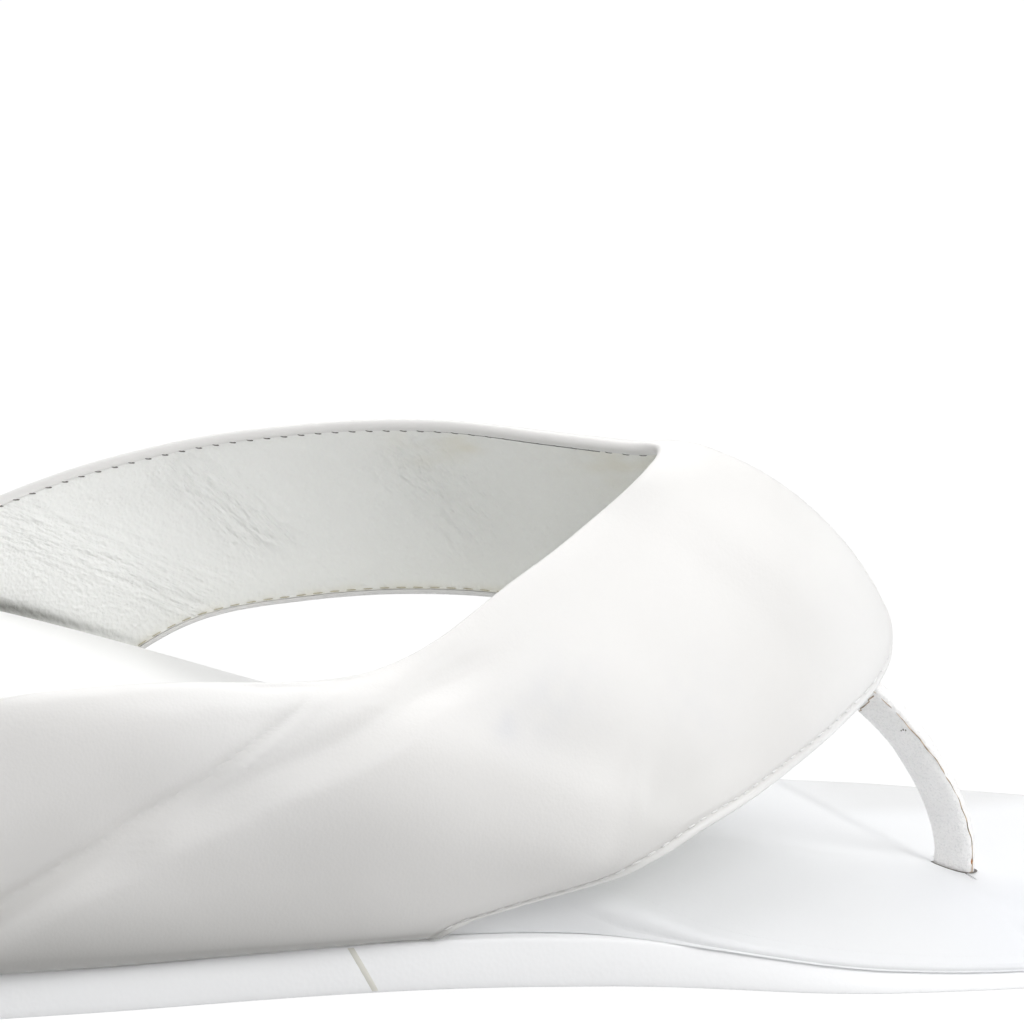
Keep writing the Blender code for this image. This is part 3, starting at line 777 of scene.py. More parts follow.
def makeSoleJoint(loop):
    # a narrow strip laid over the outsole's side, from its foot to its head
    half = len(loop) // 2 + 1
    rows = []
    for share in np.linspace(joint["foot"], joint["head"], joint["rows"]):
        side = treadSide(loop, share)[:half]
        x = joint["x"] + joint["run"] * (1.0 - share) + joint["wide"] * jointSection[:, 0]
        y = np.interp(x, side[:, 0], side[:, 1]) - joint["proud"] * jointSection[:, 1]
        z = np.interp(x, side[:, 0], side[:, 2])
        rows.append(np.column_stack([x, y, z]))
    top = np.stack(rows)
    under = top[:, ::-1] + (0.0, joint["deep"], 0.0)
    grid = np.concatenate([top, under], axis=1)
    return closedPiece("soleJointStrip", grid, joinTape)


# the post's middle line from the insole up, its section, and its unevenness as (height, size, seed)
post = dict(
    line=(
        (67.1, -9.6, 5.4), (66.9, -9.5, 10.0), (64.9, -9.2, 15.5),
        (61.5, -8.8, 21.0), (57.6, -8.1, 25.6), (52.8, -6.0, 30.2),
    ),
    wide=5.2, thick=2.3, turn=49.0, square=3.2, hole=0.35, steps=150,
    uneven=((0.05, 2.6, 12), (0.02, 1.1, 14)),
)


def sectionPoint(turn, grow=0.0):
    # a point of the post's section: a superellipse, |x / a|^p + |y / b|^p = 1, at a turn in radians
    halves = 0.5 * np.array([post["wide"], post["thick"]]) + grow
    circle = np.stack([np.cos(turn), np.sin(turn)], axis=-1)
    return halves * np.sign(circle) * np.abs(circle) ** (2.0 / post["square"])


def postPlan(grow):
    # the post's section seen from above where it goes down through the insole
    turn = math.radians(post["turn"])
    section = sectionPoint(arc(25, 0.0, 360.0)[:-1], grow)
    wide = np.array([math.cos(turn), -math.sin(turn)])
    thick = np.array([math.sin(turn), math.cos(turn)])
    return section[:, :1] * wide + section[:, 1:] * thick + post["line"][0][:2]


# marks on the padded top as (strength, where it starts and is full along x, and the same along y): painted
# light over the rear, the same all the way across; painted bluish shade on the medial front; painted shade on
# the lateral front rim
padMarks = dict(
    paintedLight=(1.0, (6.0, -24.0), (99.0, 90.0)),
    scuffAndShade=(0.26, (45.0, 75.0), (-8.0, -24.0)),
    paintedShade=(0.30, (56.0, 72.0), (13.0, 22.0)),
)


def markPad(piece, key, strength, alongX, alongY):
    # strength * ramp along x * ramp along y
    markByPlace(piece, key, lambda at: strength * ramp(at[:, 0], *alongX) * ramp(at[:, 1], *alongY))


soleLoop = outline(420)
outsolePiece = makeOutsole(soleLoop)
place(outsolePiece, "sole", "outsole")
place(makeSoleJoint(soleLoop), "sole")
footbedPiece, insoleEdge = makeFootbed(soleLoop)
place(footbedPiece, "upper_leather", "footbed")
insolePiece = makeInsole(soleLoop, insoleEdge)
for topPiece in (footbedPiece, insolePiece):
    for markName, numbers in padMarks.items():
        markPad(topPiece, markName, *numbers)
place(insolePiece, "insole_leather", "insole")
print("sole made")

# rows across the strap: place along it, toe-side edge, heel-side edge, and how far the middle bulges
strap = dict(
    wall=2.4, edge=1.3, columns=65, rows=13, fineColumns=600, fineRows=90, faceRows=112, normalPasses=33,
    at=(0.0, 0.08, 0.14, 0.20, 0.28, 0.36, 0.42, 0.46, 0.50, 0.54, 0.60, 0.68, 0.76, 0.84, 0.90, 0.95, 1.0),
    toe=(
        (-8.5, -30.6, 7.9), (9.4, -33.0, 13.5), (15.9, -33.6, 16.3), (22.4, -32.0, 19.1), (31.0, -26.5, 21.3),
        (40.0, -20.0, 24.0), (48.2, -14.2, 27.3), (53.6, -10.8, 30.7), (56.4, -7.6, 34.2), (53.0, -4.6, 34.5),
        (43.5, 1.2, 34.5), (27.5, 10.0, 35.6), (9.5, 18.8, 36.6), (-8.5, 26.5, 34.6), (-24.0, 31.5, 30.2),
        (-38.0, 32.0, 19.0), (-42.0, 32.5, 6.4),
    ),
    heel=(
        (-78.0, -29.5, 6.4), (-77.5, -28.5, 21.5), (-67.0, -27.3, 34.6), (-50.0, -26.3, 37.4),
        (-19.0, -26.5, 37.7), (3.0, -18.5, 47.3), (14.5, -13.0, 53.2), (21.0, -10.0, 57.3),
        (24.4, -6.2, 59.5), (20.5, -3.2, 59.6), (12.0, 0.8, 60.2), (0.0, 7.6, 60.6), (-14.0, 15.2, 58.8),
        (-30.0, 21.2, 55.3), (-48.0, 25.5, 48.8), (-70.0, 28.6, 37.0), (-80.0, 29.8, 6.4),
    ),
    crown=(0.5, 1.0, 1.5, 2.5, 3.0, 4.0, 4.8, 5.5, 6.0, 5.6, 5.0, 4.2, 3.4, 2.6, 2.0, 1.0, 0.5),
    crownPower=0.75, sideSplit=-4.5, footGap=0.05, wallGap=0.1, leanShare=0.9, drawShare=0.7,
    settlePasses=10, settleAbove=(20.0, 6.0), heldAbove=1.5, heldBelow=1.0,
    puff=1.9, puffOver=17.0, puffAlong=(2.0, -20.0), puffSide=-14.0,
    turnIn=0.8, lipGrow=1.3, lipAlong=(-14.0, 20.0), lipSide=(-11.0, -5.0), hiddenBack=0.38,
    skiveToe=4.5, skiveHeel=6.0, tuckTall=10.0, tuckShare=0.8, tuckThin=0.35, seam=1.75,
)


def wallAt(x, z, side):
    # the strap's middle surface where it hugs the footbed's leaning wall
    low, high = treadTop(x) + sole["gap"], footbedTop(x)
    share = np.clip((z - low) / (high - low), 0.0, 1.0)
    lean = wallLean(high - low) * np.clip(share / strap["leanShare"], 0.0, 1.0)
    out = sole["gap"] + 0.5 * strap["wall"] + sole["swell"] + strap["wallGap"]
    return outlineWidth(x, side) - wallInset(x) - lean + out


def strapMiddle():
    # straight lines from the toe-side to the heel-side edge, bulged outwards by crown * (4 share
    # (1 - share)) ^ crownPower, then drawn in to the footbed's wall and smoothed just above it
    where = np.linspace(0.0, 1.0, strap["columns"])
    toe, heel, crown = (hermite(strap["at"], strap[key], where) for key in ("toe", "heel", "crown"))
    across = heel - toe
    along = np.gradient(0.5 * (toe + heel), axis=0)
    outward = unit(np.cross(along, across))
    share = np.linspace(0.0, 1.0, strap["rows"])[None, :, None]
    lift = (4.0 * share * (1.0 - share)) ** strap["crownPower"] * crown[:, None, None]
    surface = toe[:, None] * (1.0 - share) + heel[:, None] * share + lift * outward[:, None]
    side = np.where(surface[..., 1] < strap["sideSplit"], -1.0, 1.0)
    x = surface[..., 0]
    top, foot = footbedTop(x), treadTop(x) + sole["gap"] + strap["footGap"]
    for end in (0, -1):
        surface[end, :, 2] = foot[end]
    z = surface[..., 2]
    wall = np.where(side < 0, wallAt(x, z, "medial"), wallAt(x, z, "lateral"))
    draw = ease((top - z) / (strap["drawShare"] * (top - treadTop(x))))
    reach = surface[..., 1] * side
    reach = wall * draw + reach * (1.0 - draw)
    for step in range(strap["settlePasses"]):
        reach = np.where(z < top + strap["heldAbove"], np.maximum(reach, wall), reach)
        even = reach.copy()
        even[1:-1] = 0.5 * even[1:-1] + 0.25 * (even[:-2] + even[2:])
        even[:, 1:-1] = 0.5 * even[:, 1:-1] + 0.25 * (even[:, :-2] + even[:, 2:])
        reach = reach + (even - reach) * ramp(z - top, *strap["settleAbove"])
    surface[..., 1] = side * np.where(z < top - strap["heldBelow"], np.maximum(reach, wall), reach)
    surface[..., 2] = np.maximum(z, foot)
    return surface


class Sheet:
    # the strap's middle surface on a fine grid, read by column and by millimetres across it

    def __init__(self):
        self.points = refine(strapMiddle(), strap["fineColumns"], strap["fineRows"])
        normal = unit(np.cross(np.gradient(self.points, axis=0), np.gradient(self.points, axis=1)))
        for step in range(strap["normalPasses"]):
            normal[1:-1] = 0.5 * normal[1:-1] + 0.25 * (normal[:-2] + normal[2:])
        self.normals = unit(normal)
        lengths = np.linalg.norm(np.diff(self.points, axis=1), axis=-1)
        self.across = np.concatenate([np.zeros((len(lengths), 1)), np.cumsum(lengths, axis=1)], axis=1)
        self.width = self.across[:, -1:]
        heelX, heelY = self.points[:, -1, :1], self.points[:, -1, 1:2]
        grow = ramp(heelX, *strap["lipAlong"]) * ramp(heelY, *strap["lipSide"])
        self.lip = strap["turnIn"] + strap["lipGrow"] * grow

    def read(self, distance):
        # points, normals and across-directions at these distances (columns, n) from the toe-side edge
        held = np.clip(distance, 0.0, self.width - 1e-6)
        left = (self.across[:, None, :] <= held[:, :, None]).sum(-1) - 1
        left = np.clip(left, 0, self.across.shape[1] - 2)
        low, high = (np.take_along_axis(self.across, cell, 1) for cell in (left, left + 1))
        t = ((distance - low) / (high - low))[..., None]
        column = np.arange(len(left))[:, None]
        start, end = self.points[column, left], self.points[column, left + 1]
        normal = self.normals[column, left] * (1.0 - t) + self.normals[column, left + 1] * t
        return start * (1.0 - t) + end * t, unit(normal), unit(end - start)

    def faces(self, distance, point):
        # how far the outer and the inner face lie from the middle: both are skived towards the edges, and
        # the outer one tucks under as a quarter round above the outsole
        edge, half = 0.5 * strap["edge"], 0.5 * strap["wall"]
        fromToe, fromHeel = distance - edge, self.width - distance - edge
        skive = np.minimum(swellUp(fromToe / strap["skiveToe"]), swellUp(fromHeel / strap["skiveHeel"]))
        inner = edge + (half - edge) * skive
        x, y, z = point[..., 0], point[..., 1], point[..., 2]
        puff = strap["puff"] * swellUp(fromHeel / strap["puffOver"]) * ramp(x, *strap["puffAlong"])
        puff = puff * (y < strap["puffSide"])
        above = np.clip((z - treadTop(x) - sole["gap"]) / strap["tuckTall"], 0.0, 1.0)
        tuck = strap["tuckShare"] * (1.0 - np.sqrt(1.0 - (1.0 - above) ** 2))
        outer = inner + puff - (2.0 * inner + puff - strap["tuckThin"]) * tuck
        return outer, inner


# the leather's creases, as (x, z) points of lines in the side view, from their upper ends downwards; waves
# are (height, size, seed)
creases = dict(
    valley=((-20, 39.5), (-23, 37.2), (-29.5, 34), (-34.5, 30.6), (-39, 27.4), (-44.5, 23.7), (-49.7, 20.3),
            (-55, 16.9), (-60.5, 13.4), (-70, 7.5)),
    ridge=((14, 44), (3, 39), (-3.5, 36), (-10.5, 33), (-15.5, 31), (-23, 28.4), (-30, 26.2), (-36, 23.6),
           (-42, 20.5), (-47, 17.1), (-52, 14.6), (-58.5, 10.9), (-66, 6.5)),
    upright=((14.4, 29), (13.6, 25.5), (12.6, 22), (11.4, 18.5)),
    side=-15.0, wander=(0.35, 9.0, 3),
    step=1.7, runIn=11.0, runInPower=1.3, back=1.7, startsOver=14.0,
    sharp=0.30, sharpDeepens=(8.0, 22.0), sharpWidth=0.6, sharpWidens=0.3, sharpOver=48.0,
    pucker=0.15, puckerPitch=1.25, puckerSway=(2.5, 5.0, 4), puckerPatches=((14.0, 4.5), (33.0, 8.0)),
    puckerPatchy=(0.8, (0.9, 5.0, 5), 1.2), puckerWidth=1.6, puckerBelow=2.4, puckerRidge=1.0,
    crest=1.55, crestBelow=0.8, crestRise=1.9, crestFall=9.0, crestGrows=(-1.0, 33.0),
    crestFades=(50.0, 80.0), crestLoss=0.45, furrow=0.75, furrowAbove=2.8, furrowWidth=1.3,
    fold=0.24, foldMiddle=7.0, foldLong=6.0, foldCrest=(1.4, 1.5), foldGroove=(-0.9, 1.3),
)


def fromLine(points, line):
    # in the side view: millimetres below a line, and millimetres along it from its start
    line = np.array(line, float)
    run = runAlong(line)
    fine = hermite(run, line, np.linspace(0.0, run[-1], 80)).astype(np.float32)
    flat = points[..., (0, 2)].astype(np.float32)
    nearest = np.linalg.norm(flat[..., None, :] - fine, axis=-1).argmin(-1)
    tangent = unit(np.gradient(fine, axis=0))[nearest]
    gap = flat - fine[nearest]
    below = gap[..., 1] * tangent[..., 0] - gap[..., 0] * tangent[..., 1]
    return below, nearest / (len(fine) - 1.0) * run[-1] + (gap * tangent).sum(-1)


def creaseLift(points):
    # the leather runs inwards down to the valley line and steps out again below it, with small cross
    # puckers, then a furrow and a crest along the ridge line, and an upright fold; medial side only
    form = creases
    wander = waves(points, form["wander"])
    below, run = fromLine(points, form["valley"])
    below = below + wander
    fade = ease(run / form["startsOver"])
    above = ease(1.0 + below / form["runIn"]) ** form["runInPower"]
    lift = -form["step"] * np.where(below < 0.0, above, 1.0 - ease(below / form["back"])) * fade
    deeper = 1.0 + ramp(run, *form["sharpDeepens"])
    wider = form["sharpWidth"] + form["sharpWidens"] * ease(run / form["sharpOver"])
    lift -= form["sharp"] * deeper * hump(below, wider) * fade
    patches = sum(hump(run - at, size) for at, size in form["puckerPatches"])
    patches = patches * patchy(points, *form["puckerPatchy"])
    pleats = np.cos(2.0 * np.pi * run / form["puckerPitch"] + waves(points, form["puckerSway"]))
    puckers = form["pucker"] * pleats * patches * fade
    lift += puckers * hump(below - form["puckerBelow"], form["puckerWidth"])
    under, along = fromLine(points, form["ridge"])
    under = under + wander
    fromCrest = under - form["crestBelow"]
    crest = hump(fromCrest, np.where(fromCrest < 0.0, form["crestRise"], form["crestFall"]))
    grown = ramp(along, *form["crestGrows"]) * (1.0 - form["crestLoss"] * ramp(along, *form["crestFades"]))
    furrow = hump(under + form["furrowAbove"], form["furrowWidth"])
    lift += (form["crest"] * crest - form["furrow"] * furrow) * grown
    lift += 0.5 * puckers * hump(under - form["puckerRidge"], form["puckerWidth"])
    beside, down = fromLine(points, form["upright"])
    (crestAt, crestWide), (grooveAt, grooveWide) = form["foldCrest"], form["foldGroove"]
    fold = hump(beside - crestAt, crestWide) - hump(beside - grooveAt, grooveWide)
    lift += form["fold"] * fold * hump(down - form["foldMiddle"], form["foldLong"])
    return lift * (points[..., 1] < form["side"])


# the leather's unevenness as (height, size, seed), its seam's bead and groove as (height, place, width),
# and its marks: spots as (strength, middle, size), blue scuffs, painted shade low down and along the edges,
# and painted highlights
strapSkin = dict(
    uneven=((0.15, 16.0, 1), (0.06, 6.0, 2)), evenEdge=5.0,
    bead=(0.12, 0.85, 0.5), groove=(0.30, strap["seam"], 0.36),
    scuffPatchy=(0.7, (0.6, 2.2, 6)),
    scuffs=(
        (0.34, (-3.4, -30, 32), 1.7), (0.14, (-1, -30, 33), 4.0), (0.15, (5, -28, 35.5), 5.5),
        (0.10, (24, -26, 33), 5.0),
    ),
    # painted shade: spots over the folds and the rear, and bands as (strength, place, width) low down, at the
    # foot, in a contact line, along the toe-side edge and in the seam
    paintedShadeSpots=((0.42, (18, -28, 22), 7.0), (0.12, (6, -29, 30), 7.0), (0.15, (-56, -30, 14), 8.0)),
    paintedShadeLow=(0.85, 0.0, 7.5), paintedShadeRear=(12.0, -58.0),
    paintedShadeFoot=(0.35, 0.0, 2.2), paintedShadowLine=(0.85, 0.5, 0.8),
    paintedShadeEdge=(0.12, 3.5, 2.5), paintedShadeEdgeRear=(34.0, 14.0), paintedShadeSeam=(0.25, strap["seam"], 0.30),
    # painted highlights: spots as (strength, middle, size), the tip as (strength, where it starts and is full
    # along x), and the rolled toe-side lip as (strength, place, width)
    paintedHighlight=((0.36, (-34, -30, 34), 10.0),), paintedHighlightTip=(0.45, (36.0, 50.0)), paintedHighlightLip=(0.5, 0.55, 0.6),
)


def strapMarks(point, distance, outside):
    # painted shade grows towards the floor, the heel and the seam, and lies over the folds and at the rear;
    # scuffs are blue;
    # painted highlights lighten the tip, the lip and a patch below the heel-side edge
    skin = strapSkin
    x, above = point[..., 0], point[..., 2] - treadTop(point[..., 0])
    scuffs = spots(point, skin["scuffs"]) * patchy(point, *skin["scuffPatchy"]) * outside
    paintedShadeSpots = band(above, *skin["paintedShadeLow"]) * ramp(x, *skin["paintedShadeRear"]) + band(above, *skin["paintedShadeFoot"])
    paintedShadeSpots = paintedShadeSpots + band(above, *skin["paintedShadowLine"]) + spots(point, skin["paintedShadeSpots"])
    paintedShadeSpots = paintedShadeSpots + band(distance, *skin["paintedShadeEdge"]) * ramp(x, *skin["paintedShadeEdgeRear"])
    seamShade = band(distance, *skin["paintedShadeSeam"]) * outside
    tip, tipAlong = skin["paintedHighlightTip"]
    paintedHighlight = (tip * ramp(x, *tipAlong) + spots(point, skin["paintedHighlight"])) * outside
    return scuffs, paintedShadeSpots, seamShade, paintedHighlight


def makeStrap(sheet):
    # the leather round one column: turned-in lip, rounded toe-side edge, outer face, rounded heel-side
    # edge, the other lip, and a back that the lining hides
    edge, turned = 0.5 * strap["edge"], strap["turnIn"]
    width, lip = sheet.width, sheet.lip
    one = np.ones_like(width)
    angles = arc(9, -90.0, 90.0)
    face = np.linspace(0.0, 1.0, strap["faceRows"])[1:-1]
    face = 0.30 * (0.5 - 0.5 * np.cos(np.pi * face)) + 0.70 * face  # rows lie closer near the edges
    toeLip = np.array([turned, turned, 0.5 * turned + 0.3])
    heelLip = np.concatenate([0.5 * lip + 0.3, lip, lip], axis=1)
    back = strap["hiddenBack"]
    # per stretch: distance across, slide past the edge, and share of the way from the inner face, 0, to
    # the outer face, 1
    stretches = [
        (one * toeLip, np.zeros(3), np.array([back, 0.0, 0.0])),
        (one * np.full(9, edge), -edge * np.cos(angles), 0.5 + 0.5 * np.sin(angles)),
        (edge + (width - 2.0 * edge) * face, 0.0 * face, 0.0 * face + 1.0),
        (width - edge * np.ones(9), edge * np.cos(angles), 0.5 - 0.5 * np.sin(angles)),
        (width - heelLip, np.zeros(3), np.array([0.0, 0.0, back])),
        (turned + (width - turned - lip) * np.linspace(0.97, 0.03, 10), np.zeros(10), np.full(10, back)),
    ]
    parts = zip(*stretches)
    distance, slide, share = (np.concatenate([one * part for part in kind], axis=1) for kind in parts)
    point, normal, side = sheet.read(distance)
    outer, inner = sheet.faces(distance, point)
    outside, rim = share > 0.99, np.minimum(distance, width - distance) - edge
    uneven = waves(point, *strapSkin["uneven"])
    relief = (creaseLift(point) + uneven) * ease(rim / strapSkin["evenEdge"]) * outside
    stitched = band(distance, *strapSkin["bead"]) - band(distance, *strapSkin["groove"])
    relief = relief + (share > 0.6) * stitched
    grid = point + side * slide[..., None] + normal * (share * (outer + inner) - inner + relief)[..., None]
    # the strap's marks: blue scuffs, painted shade on the outer face, and painted highlights on the outside
    # and the lip
    scuffs, paintedShadeSpots, seamShade, paintedHighlight = strapMarks(point, distance, outside)
    paintedHighlight = paintedHighlight + band(distance, *strapSkin["paintedHighlightLip"]) * (share > 0.5)
    marks = {"scuffAndShade": scuffs, "paintedShade": seamShade + paintedShadeSpots * (share > 0.6), "paintedLight": paintedHighlight}
    return closedPiece("strapLeather", grid, calfSkin, smoothAngle=60.0, marks=marks)


# families of thin folds in the lining: line in the side view, how far they spread beside it, strength
liningFolds = dict(
    foldsRear=(((-60, 50), (-47, 46.6), (-40, 43), (-33, 40.2), (-18, 34)), 4.5, 1.0),
    foldsTop=(((-28, 55), (-24, 51.5), (-20, 48.6), (-10, 42.6)), 3.6, 1.5),
    foldsFront=(((-2, 59), (2, 54), (6.5, 50), (13, 43.5)), 4.2, 1.5),
)

# the lining's place, its waves as (height, size, seed), its grooves, and its marks as (strength, place,
# width)
liningForm = dict(
    start=0.05, end=0.16, rows=120, proud=0.10, flatEdge=3.0, backShare=0.32,
    slow=(0.50, 11.0, 10), quick=(0.06, 3.0, 8), quickScale=(1.0, 1.0, 0.7),
    foldSide=2.0, foldStart=(-1.5, 1.5), foldEnd=(-1.8, 4.2), wander=(0.9, 4.0, 21), ripple=(0.09, 1.9, 11),
    grooves=(-4.6, -2.9, -1.5, 0.0, 1.3, 3.1, 4.9), grooveDeep=0.15, grooveWide=0.5,
    deepAlong=(-30.0, 30.0), deepShare=0.85, deepEdge=(0.35, 0.0, 6.0),
    stains=((0.55, (5, 10, 58), 2.2), (0.30, (2, 12, 58.5), 4.0), (0.30, (22, 0, 57.5), 6.0)),
    stainEdge=(0.25, 0.0, 1.0), stainPatchy=(0.6, (0.7, 2.4, 13)), footSide=26.0,
    # the painted contact shadow in the crevice: strength, where it grows along x, and how tall it is
    creviceShadow=0.9, creviceAlong=(-22.0, -48.0), creviceTall=(0.3, 0.6),
)


def foldsInLining(point):
    # each family's patch, where its material's ripples show, and its grooves along its line, in millimetres
    form, patches, height = liningForm, {}, 0.0
    for key, (line, spread, strength) in liningFolds.items():
        below, run = fromLine(point, line)
        length = runAlong(np.array(line, float))[-1]
        patch = hump(below, spread) * ramp(run, *form["foldStart"]) * ramp(length - run, *form["foldEnd"])
        patches[key] = strength * patch * (point[..., 1] > form["foldSide"])
        bent = below + waves(point, form["wander"])
        grooves = sum(hump(bent - beside, form["grooveWide"]) for beside in form["grooves"])
        ripple = waves(point, form["ripple"])
        height = height + strength * patch * (ripple - form["grooveDeep"] * grooves)
    return patches, height


def liningMarks(point, fromToe):
    # it deepens towards the throat and near its toe-side edge, partly soil and partly painted shade; it is
    # stained in spots and along its edge; and a painted contact shadow darkens the crevice where it meets the
    # padded top at the rear
    form = liningForm
    x, y, z = point[..., 0], point[..., 1], point[..., 2]
    # darker and yellower towards the throat and near the toe-side edge: partly soil, partly painted shade
    deep = form["deepShare"] * ramp(x, *form["deepAlong"]) + band(fromToe, *form["deepEdge"])
    stain = spots(point, form["stains"]) + band(fromToe, *form["stainEdge"])
    low = z - footbedHeight(x, np.clip(y, -form["footSide"], form["footSide"]))
    rear = ramp(x, *form["creviceAlong"])
    thin, grows = form["creviceTall"]
    creviceShadow = np.clip(form["creviceShadow"] * rear * hump(low, thin + grows * rear), 0.0, 1.0)
    stain = stain * patchy(point, *form["stainPatchy"])
    return {"deep": np.clip(deep, 0.0, 1.0), "stain": stain, "creviceShadow": creviceShadow}


def makeLining(sheet):
    # a thin sheet between the turned-in lips, slightly sunk, with slow waves and thin folds
    form = liningForm
    start = strap["turnIn"] + form["start"]
    width, end = sheet.width, sheet.lip + form["end"]
    distance = start + (width - start - end) * np.linspace(0.0, 1.0, form["rows"])
    point, normal = sheet.read(distance)[:2]
    outer, inner = sheet.faces(distance, point)
    rim = np.minimum(distance - start, width - distance - end)
    marks, folds = foldsInLining(point)
    marks.update(liningMarks(point, distance - start))
    uneven = waves(point, form["slow"]) + waves(point * form["quickScale"], form["quick"])
    face = form["proud"] + (uneven + folds) * ease(rim / form["flatEdge"])
    front = point + normal * (face - inner)[..., None]
    back = point + normal * (form["backShare"] * (outer + inner) - inner)[..., None]
    few = slice(None, None, -17)  # the hidden back needs only some of the rows
    grid = np.concatenate([front, back[:, few]], axis=1)[:, ::-1]
    for key, values in marks.items():
        marks[key] = np.concatenate([values, values[:, few]], axis=1)[:, ::-1]
    return closedPiece("strapLining", grid, lining, smoothAngle=60.0, marks=marks)


# the seams: each stitch's length, thickness, how deep its ends dive and its turn across the path, and
# how far the row lies above the leather; the gap beside the heel-side seam runs over the throat
seams = dict(
    pitch=2.1, ends=3.0, sections=6, sides=6, insideRow=0.30, holesRow=-0.08,
    toeSeamOutside=dict(long=1.45, thick=0.19, dive=0.30, tilt=0.0, proud=-0.16),
    toeSeamInside=dict(long=1.25, thick=0.075, dive=0.10, tilt=0.0, proud=-0.02),
    heelSeamHoles=dict(long=0.7, thick=0.12, dive=0.0, tilt=38.0, proud=-0.03),
    gapAlong=(-1.0, 19.5), gapSide=-5.0, gapThin=0.02, gapGrows=0.075, gapOver=(-1.0, 11.0),
)


def stitches(name, path, up, across, material):
    # one spindle each pitch along a path; along its middle, t from -1 to 1, it sinks by dive * t^4 and
    # thins as the root of 1 - 0.8 t^4; tilt turns it across the path, in degrees
    form, run = seams[name], runAlong(path)
    sections, sides = seams["sections"], seams["sides"]
    middle = np.arange(seams["ends"], run[-1] - seams["ends"], seams["pitch"])[:, None]
    t = np.linspace(-1.0, 1.0, sections)[None, :]
    lean, half = math.radians(form["tilt"]), 0.5 * form["long"]
    at = middle + half * math.cos(lean) * t
    lines = ([np.interp(at, run, line[:, axis]) for axis in range(3)] for line in (path, up, across))
    path, up, across = (np.stack(line, axis=-1) for line in lines)
    body = path + across * (half * math.sin(lean) * t)[..., None] - up * (form["dive"] * t**4)[..., None]
    around = arc(sides + 1, 0.0, 360.0)[:-1, None]
    girth = (form["thick"] * np.sqrt(1.0 - 0.8 * t**4))[..., None, None]
    turned = across[:, :, None] * np.cos(around) + up[:, :, None] * np.sin(around)
    points = (body[:, :, None] + girth * turned).reshape(-1, 3)
    first = sections * sides * np.arange(len(middle))[:, None]
    faces = (quadsBetween(sections, sides, True) + first[..., None]).reshape(-1, 4).tolist()
    start, end = np.arange(sides)[::-1], np.arange(sides) + (sections - 1) * sides
    faces += (start + first).tolist() + (end + first).tolist()
    return joined(name, [meshPiece(name, points, faces, material)])


def makeSeams(sheet):
    # white thread in the toe-side groove outside, brown thread inside it, and dark specks that paint the
    # shade of the needle's holes between the lining and the lip of the heel-side edge, where a dark cord
    # paints the shade of a gap over the throat
    def row(name, distance, outside):
        # a line along the strap, with the way up from its leather and the way across it
        distance = distance + 0.0 * sheet.width
        point, normal, side = sheet.read(distance)
        outer, inner = sheet.faces(distance, point)
        proud = seams[name]["proud"]
        height = outer + proud if outside else -inner - proud
        up = normal[:, 0] if outside else -normal[:, 0]
        return point[:, 0] + normal[:, 0] * height, up, side[:, 0]

    rows = (
        ("toeSeamOutside", strap["seam"], True, threadWhite),
        ("toeSeamInside", strap["turnIn"] + seams["insideRow"], False, threadBrown),
        ("heelSeamHoles", sheet.width - sheet.lip + seams["holesRow"], False, holeShadow),
    )
    for name, distance, outside, material in rows:
        path, up, across = row(name, distance, outside)
        place(stitches(name, path, up, across, material), "upper_leather")
    x, y = path[:, 0], path[:, 1]  # the gap follows the last row
    rear, front = seams["gapAlong"]
    bare = (x < front) & (x > rear) & (y > seams["gapSide"])
    girth = seams["gapThin"] + seams["gapGrows"] * ramp(x[bare], *seams["gapOver"])
    # a dark cord of painted shade in the gap over the throat
    place(cord("heelSeamGapShadow", path[bare], across[bare], girth, holeShadow), "upper_leather")


def sweep(path, wideAim, section):
    # a closed section (points, 2) carried along a path, its first axis kept near wideAim
    along = unit(np.gradient(path, axis=0))
    wide = unit(wideAim - along * (along * wideAim).sum(-1, keepdims=True))
    thick = np.cross(along, wide)
    return path[:, None] + wide[:, None] * section[..., :1] + thick[:, None] * section[..., 1:], wide, thick


def cord(name, path, aim, girth, material):
    # a thin round cord along a path, its girth given along it
    around = arc(9, 0.0, 360.0)[:-1]
    ring = np.stack([np.cos(around), np.sin(around)], axis=-1)
    grid = sweep(path, aim, ring * np.broadcast_to(girth, len(path))[:, None, None])[0]
    return closedPiece(name, grid, material)


strapSheet = Sheet()
place(makeStrap(strapSheet), "upper_leather", "strap_upper")
place(makeLining(strapSheet), "upper_leather")
makeSeams(strapSheet)
print("strap made")


def makePost():
    # a folded strip with rounded edges and slightly uneven faces
    line = np.array(post["line"])
    path = hermite(np.linspace(0, 1, len(line)), line, np.linspace(0, 1, post["steps"]))
    turn = math.radians(post["turn"])
    section = sectionPoint(arc(73, 0.0, 360.0)[:-1])
    grid, wide, thick = sweep(path, np.array([math.cos(turn), -math.sin(turn), 0.0]), section)
    uneven = waves(grid, *post["uneven"])
    grid = grid + uneven[..., None] * unit(grid - path[:, None])
    return closedPiece("toePostStrip", grid, postSkin, smoothAngle=50.0), path, wide, thick


postPiece, postMiddle, postWide, postThick = makePost()
place(postPiece, "post_leather", "toe_post")


def onPost(share, degrees, out=0.0):
    # a point on the post's skin: share of the way up, and a turn round its section
    last = len(postMiddle) - 1
    ring = np.clip(np.round(np.asarray(share) * last).astype(int), 0, last)
    flat = sectionPoint(np.radians(np.asarray(degrees, float)), out)
    return postMiddle[ring] + postWide[ring] * flat[..., :1] + postThick[ring] * flat[..., 1:]


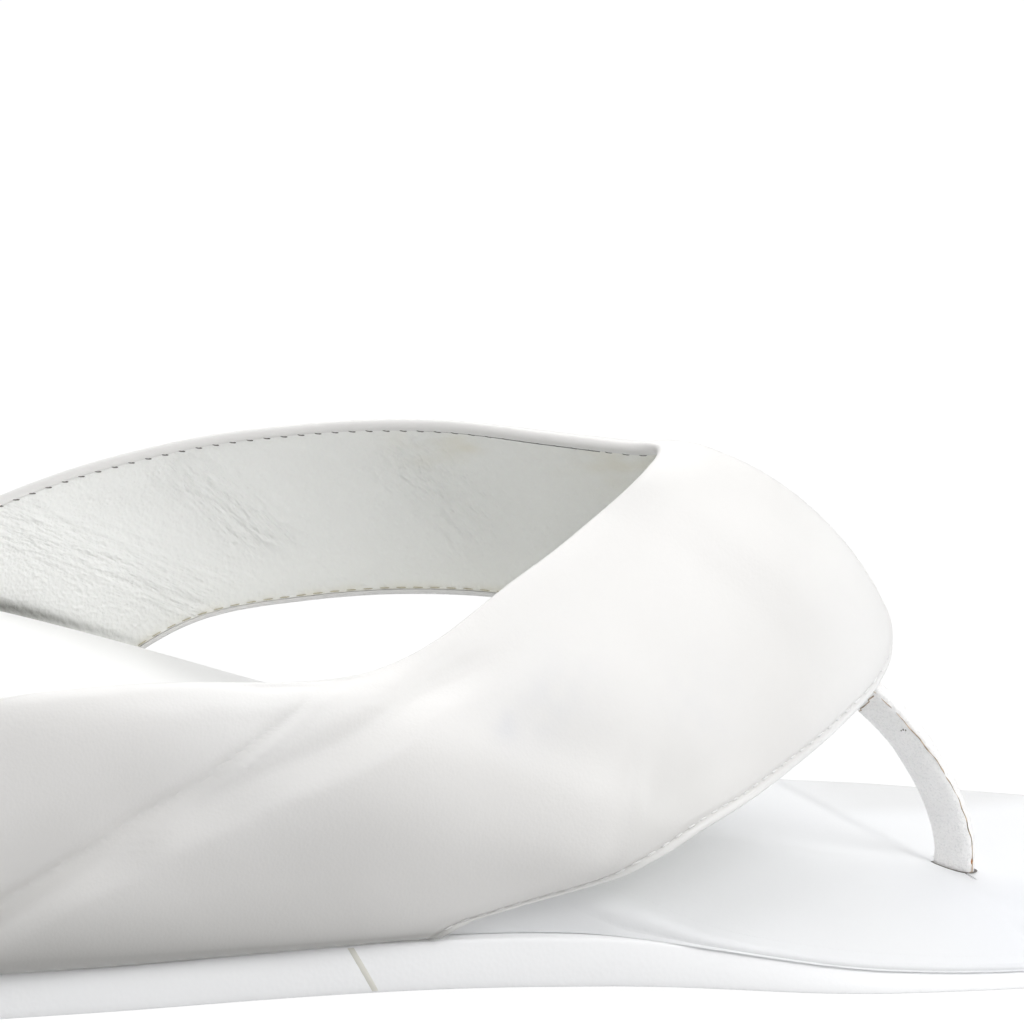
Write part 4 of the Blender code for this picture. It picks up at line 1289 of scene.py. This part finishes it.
def speck(name, middle, size, material):
    # a small flattened drop: a ball of latitude rings stretched by size
    down = np.linspace(0.02, np.pi - 0.02, 9)[:, None]
    around = np.linspace(0.0, 2.0 * np.pi, 13)[None, :-1]
    ball = [np.sin(down) * np.cos(around), np.sin(down) * np.sin(around), np.cos(down) + 0.0 * around]
    grid = np.stack(ball, axis=-1) * size + np.array(middle)
    return closedPiece(name, grid, material)


# marks on the post: shares of the way up it, degrees round it, thicknesses, and waves as (height, size,
# seed); a spot is a share, a turn, a size in millimetres and its finish
postMarks = dict(
    edge=(0.04, 0.985), edgeTurn=(-9.0, -52.0), edgeBow=1.2, edgeOut=0.03, edgeThick=0.065,
    edgeWander=((0.12, 1.3, 15), (0.12, 1.5, 16), (0.12, 1.4, 19)), edgeUneven=(0.75, 1.1, 17),
    crack=(0.895, 0.915), crackTurn=(-150.0, -62.0), crackThick=0.075,
    crackWander=(0.10, 1.3, 18), crackUneven=(0.05, 0.9, 20),
    spotsOut=-0.04,
    spots=(
        (0.755, -77.0, (0.10, 0.10, 0.13), holeShadow), (0.75, -69.0, (0.12, 0.12, 0.16), holeShadow),
        (0.747, -63.0, (0.10, 0.10, 0.15), holeShadow), (0.945, -72.0, (0.75, 0.30, 0.55), wornSpot),
        (0.10, -14.0, (0.17, 0.17, 0.42), wornOrange), (0.035, -18.0, (0.28, 0.28, 0.20), crackBrown),
    ),
    shadeOut=0.24, shadeSunk=0.13, shadeThick=0.23,
)


def makePostMarks():
    # the raw edge down the post's corner, a crack across its top, needle pricks as dark specks of painted
    # shade, worn spots, and a dark ring of painted shade in the gap where it enters the insole
    form = postMarks
    share = np.linspace(*form["edge"], 140)
    low, high = form["edgeTurn"]
    edge = onPost(share, low + (high - low) * share ** form["edgeBow"], form["edgeOut"])
    edge = edge + np.column_stack([waves(edge, wave) for wave in form["edgeWander"]])
    girth = form["edgeThick"] * (1.0 + waves(edge, form["edgeUneven"]))
    place(cord("postRawEdge", edge, postWide[0], girth, rawEdge), "post_leather")
    crack = onPost(np.linspace(*form["crack"], 50), np.linspace(*form["crackTurn"], 50))
    crack[:, 2] += waves(crack, form["crackWander"])
    girth = form["crackThick"] + waves(crack, form["crackUneven"])
    place(cord("postCrack", crack, postThick[0], girth, crackBrown), "post_leather")
    for number, (height, turn, size, material) in enumerate(form["spots"]):
        middle = onPost(np.array([height]), np.array([turn]), form["spotsOut"])[0]
        place(speck(f"postSpot{number + 1}", middle, size, material), "post_leather")
    # a dark ring of painted shade round the post where it enters the insole
    plan = postPlan(form["shadeOut"])
    ring = lay(plan, footbedHeight(plan[:, 0], plan[:, 1]) - form["shadeSunk"])
    ring = np.concatenate([ring, ring[:1]])
    up = np.array([0.0, 0.0, 1.0])
    place(cord("postHoleShade", ring, up, form["shadeThick"], holeShadow), "insole_leather")


makePostMarks()
print("toe post made")
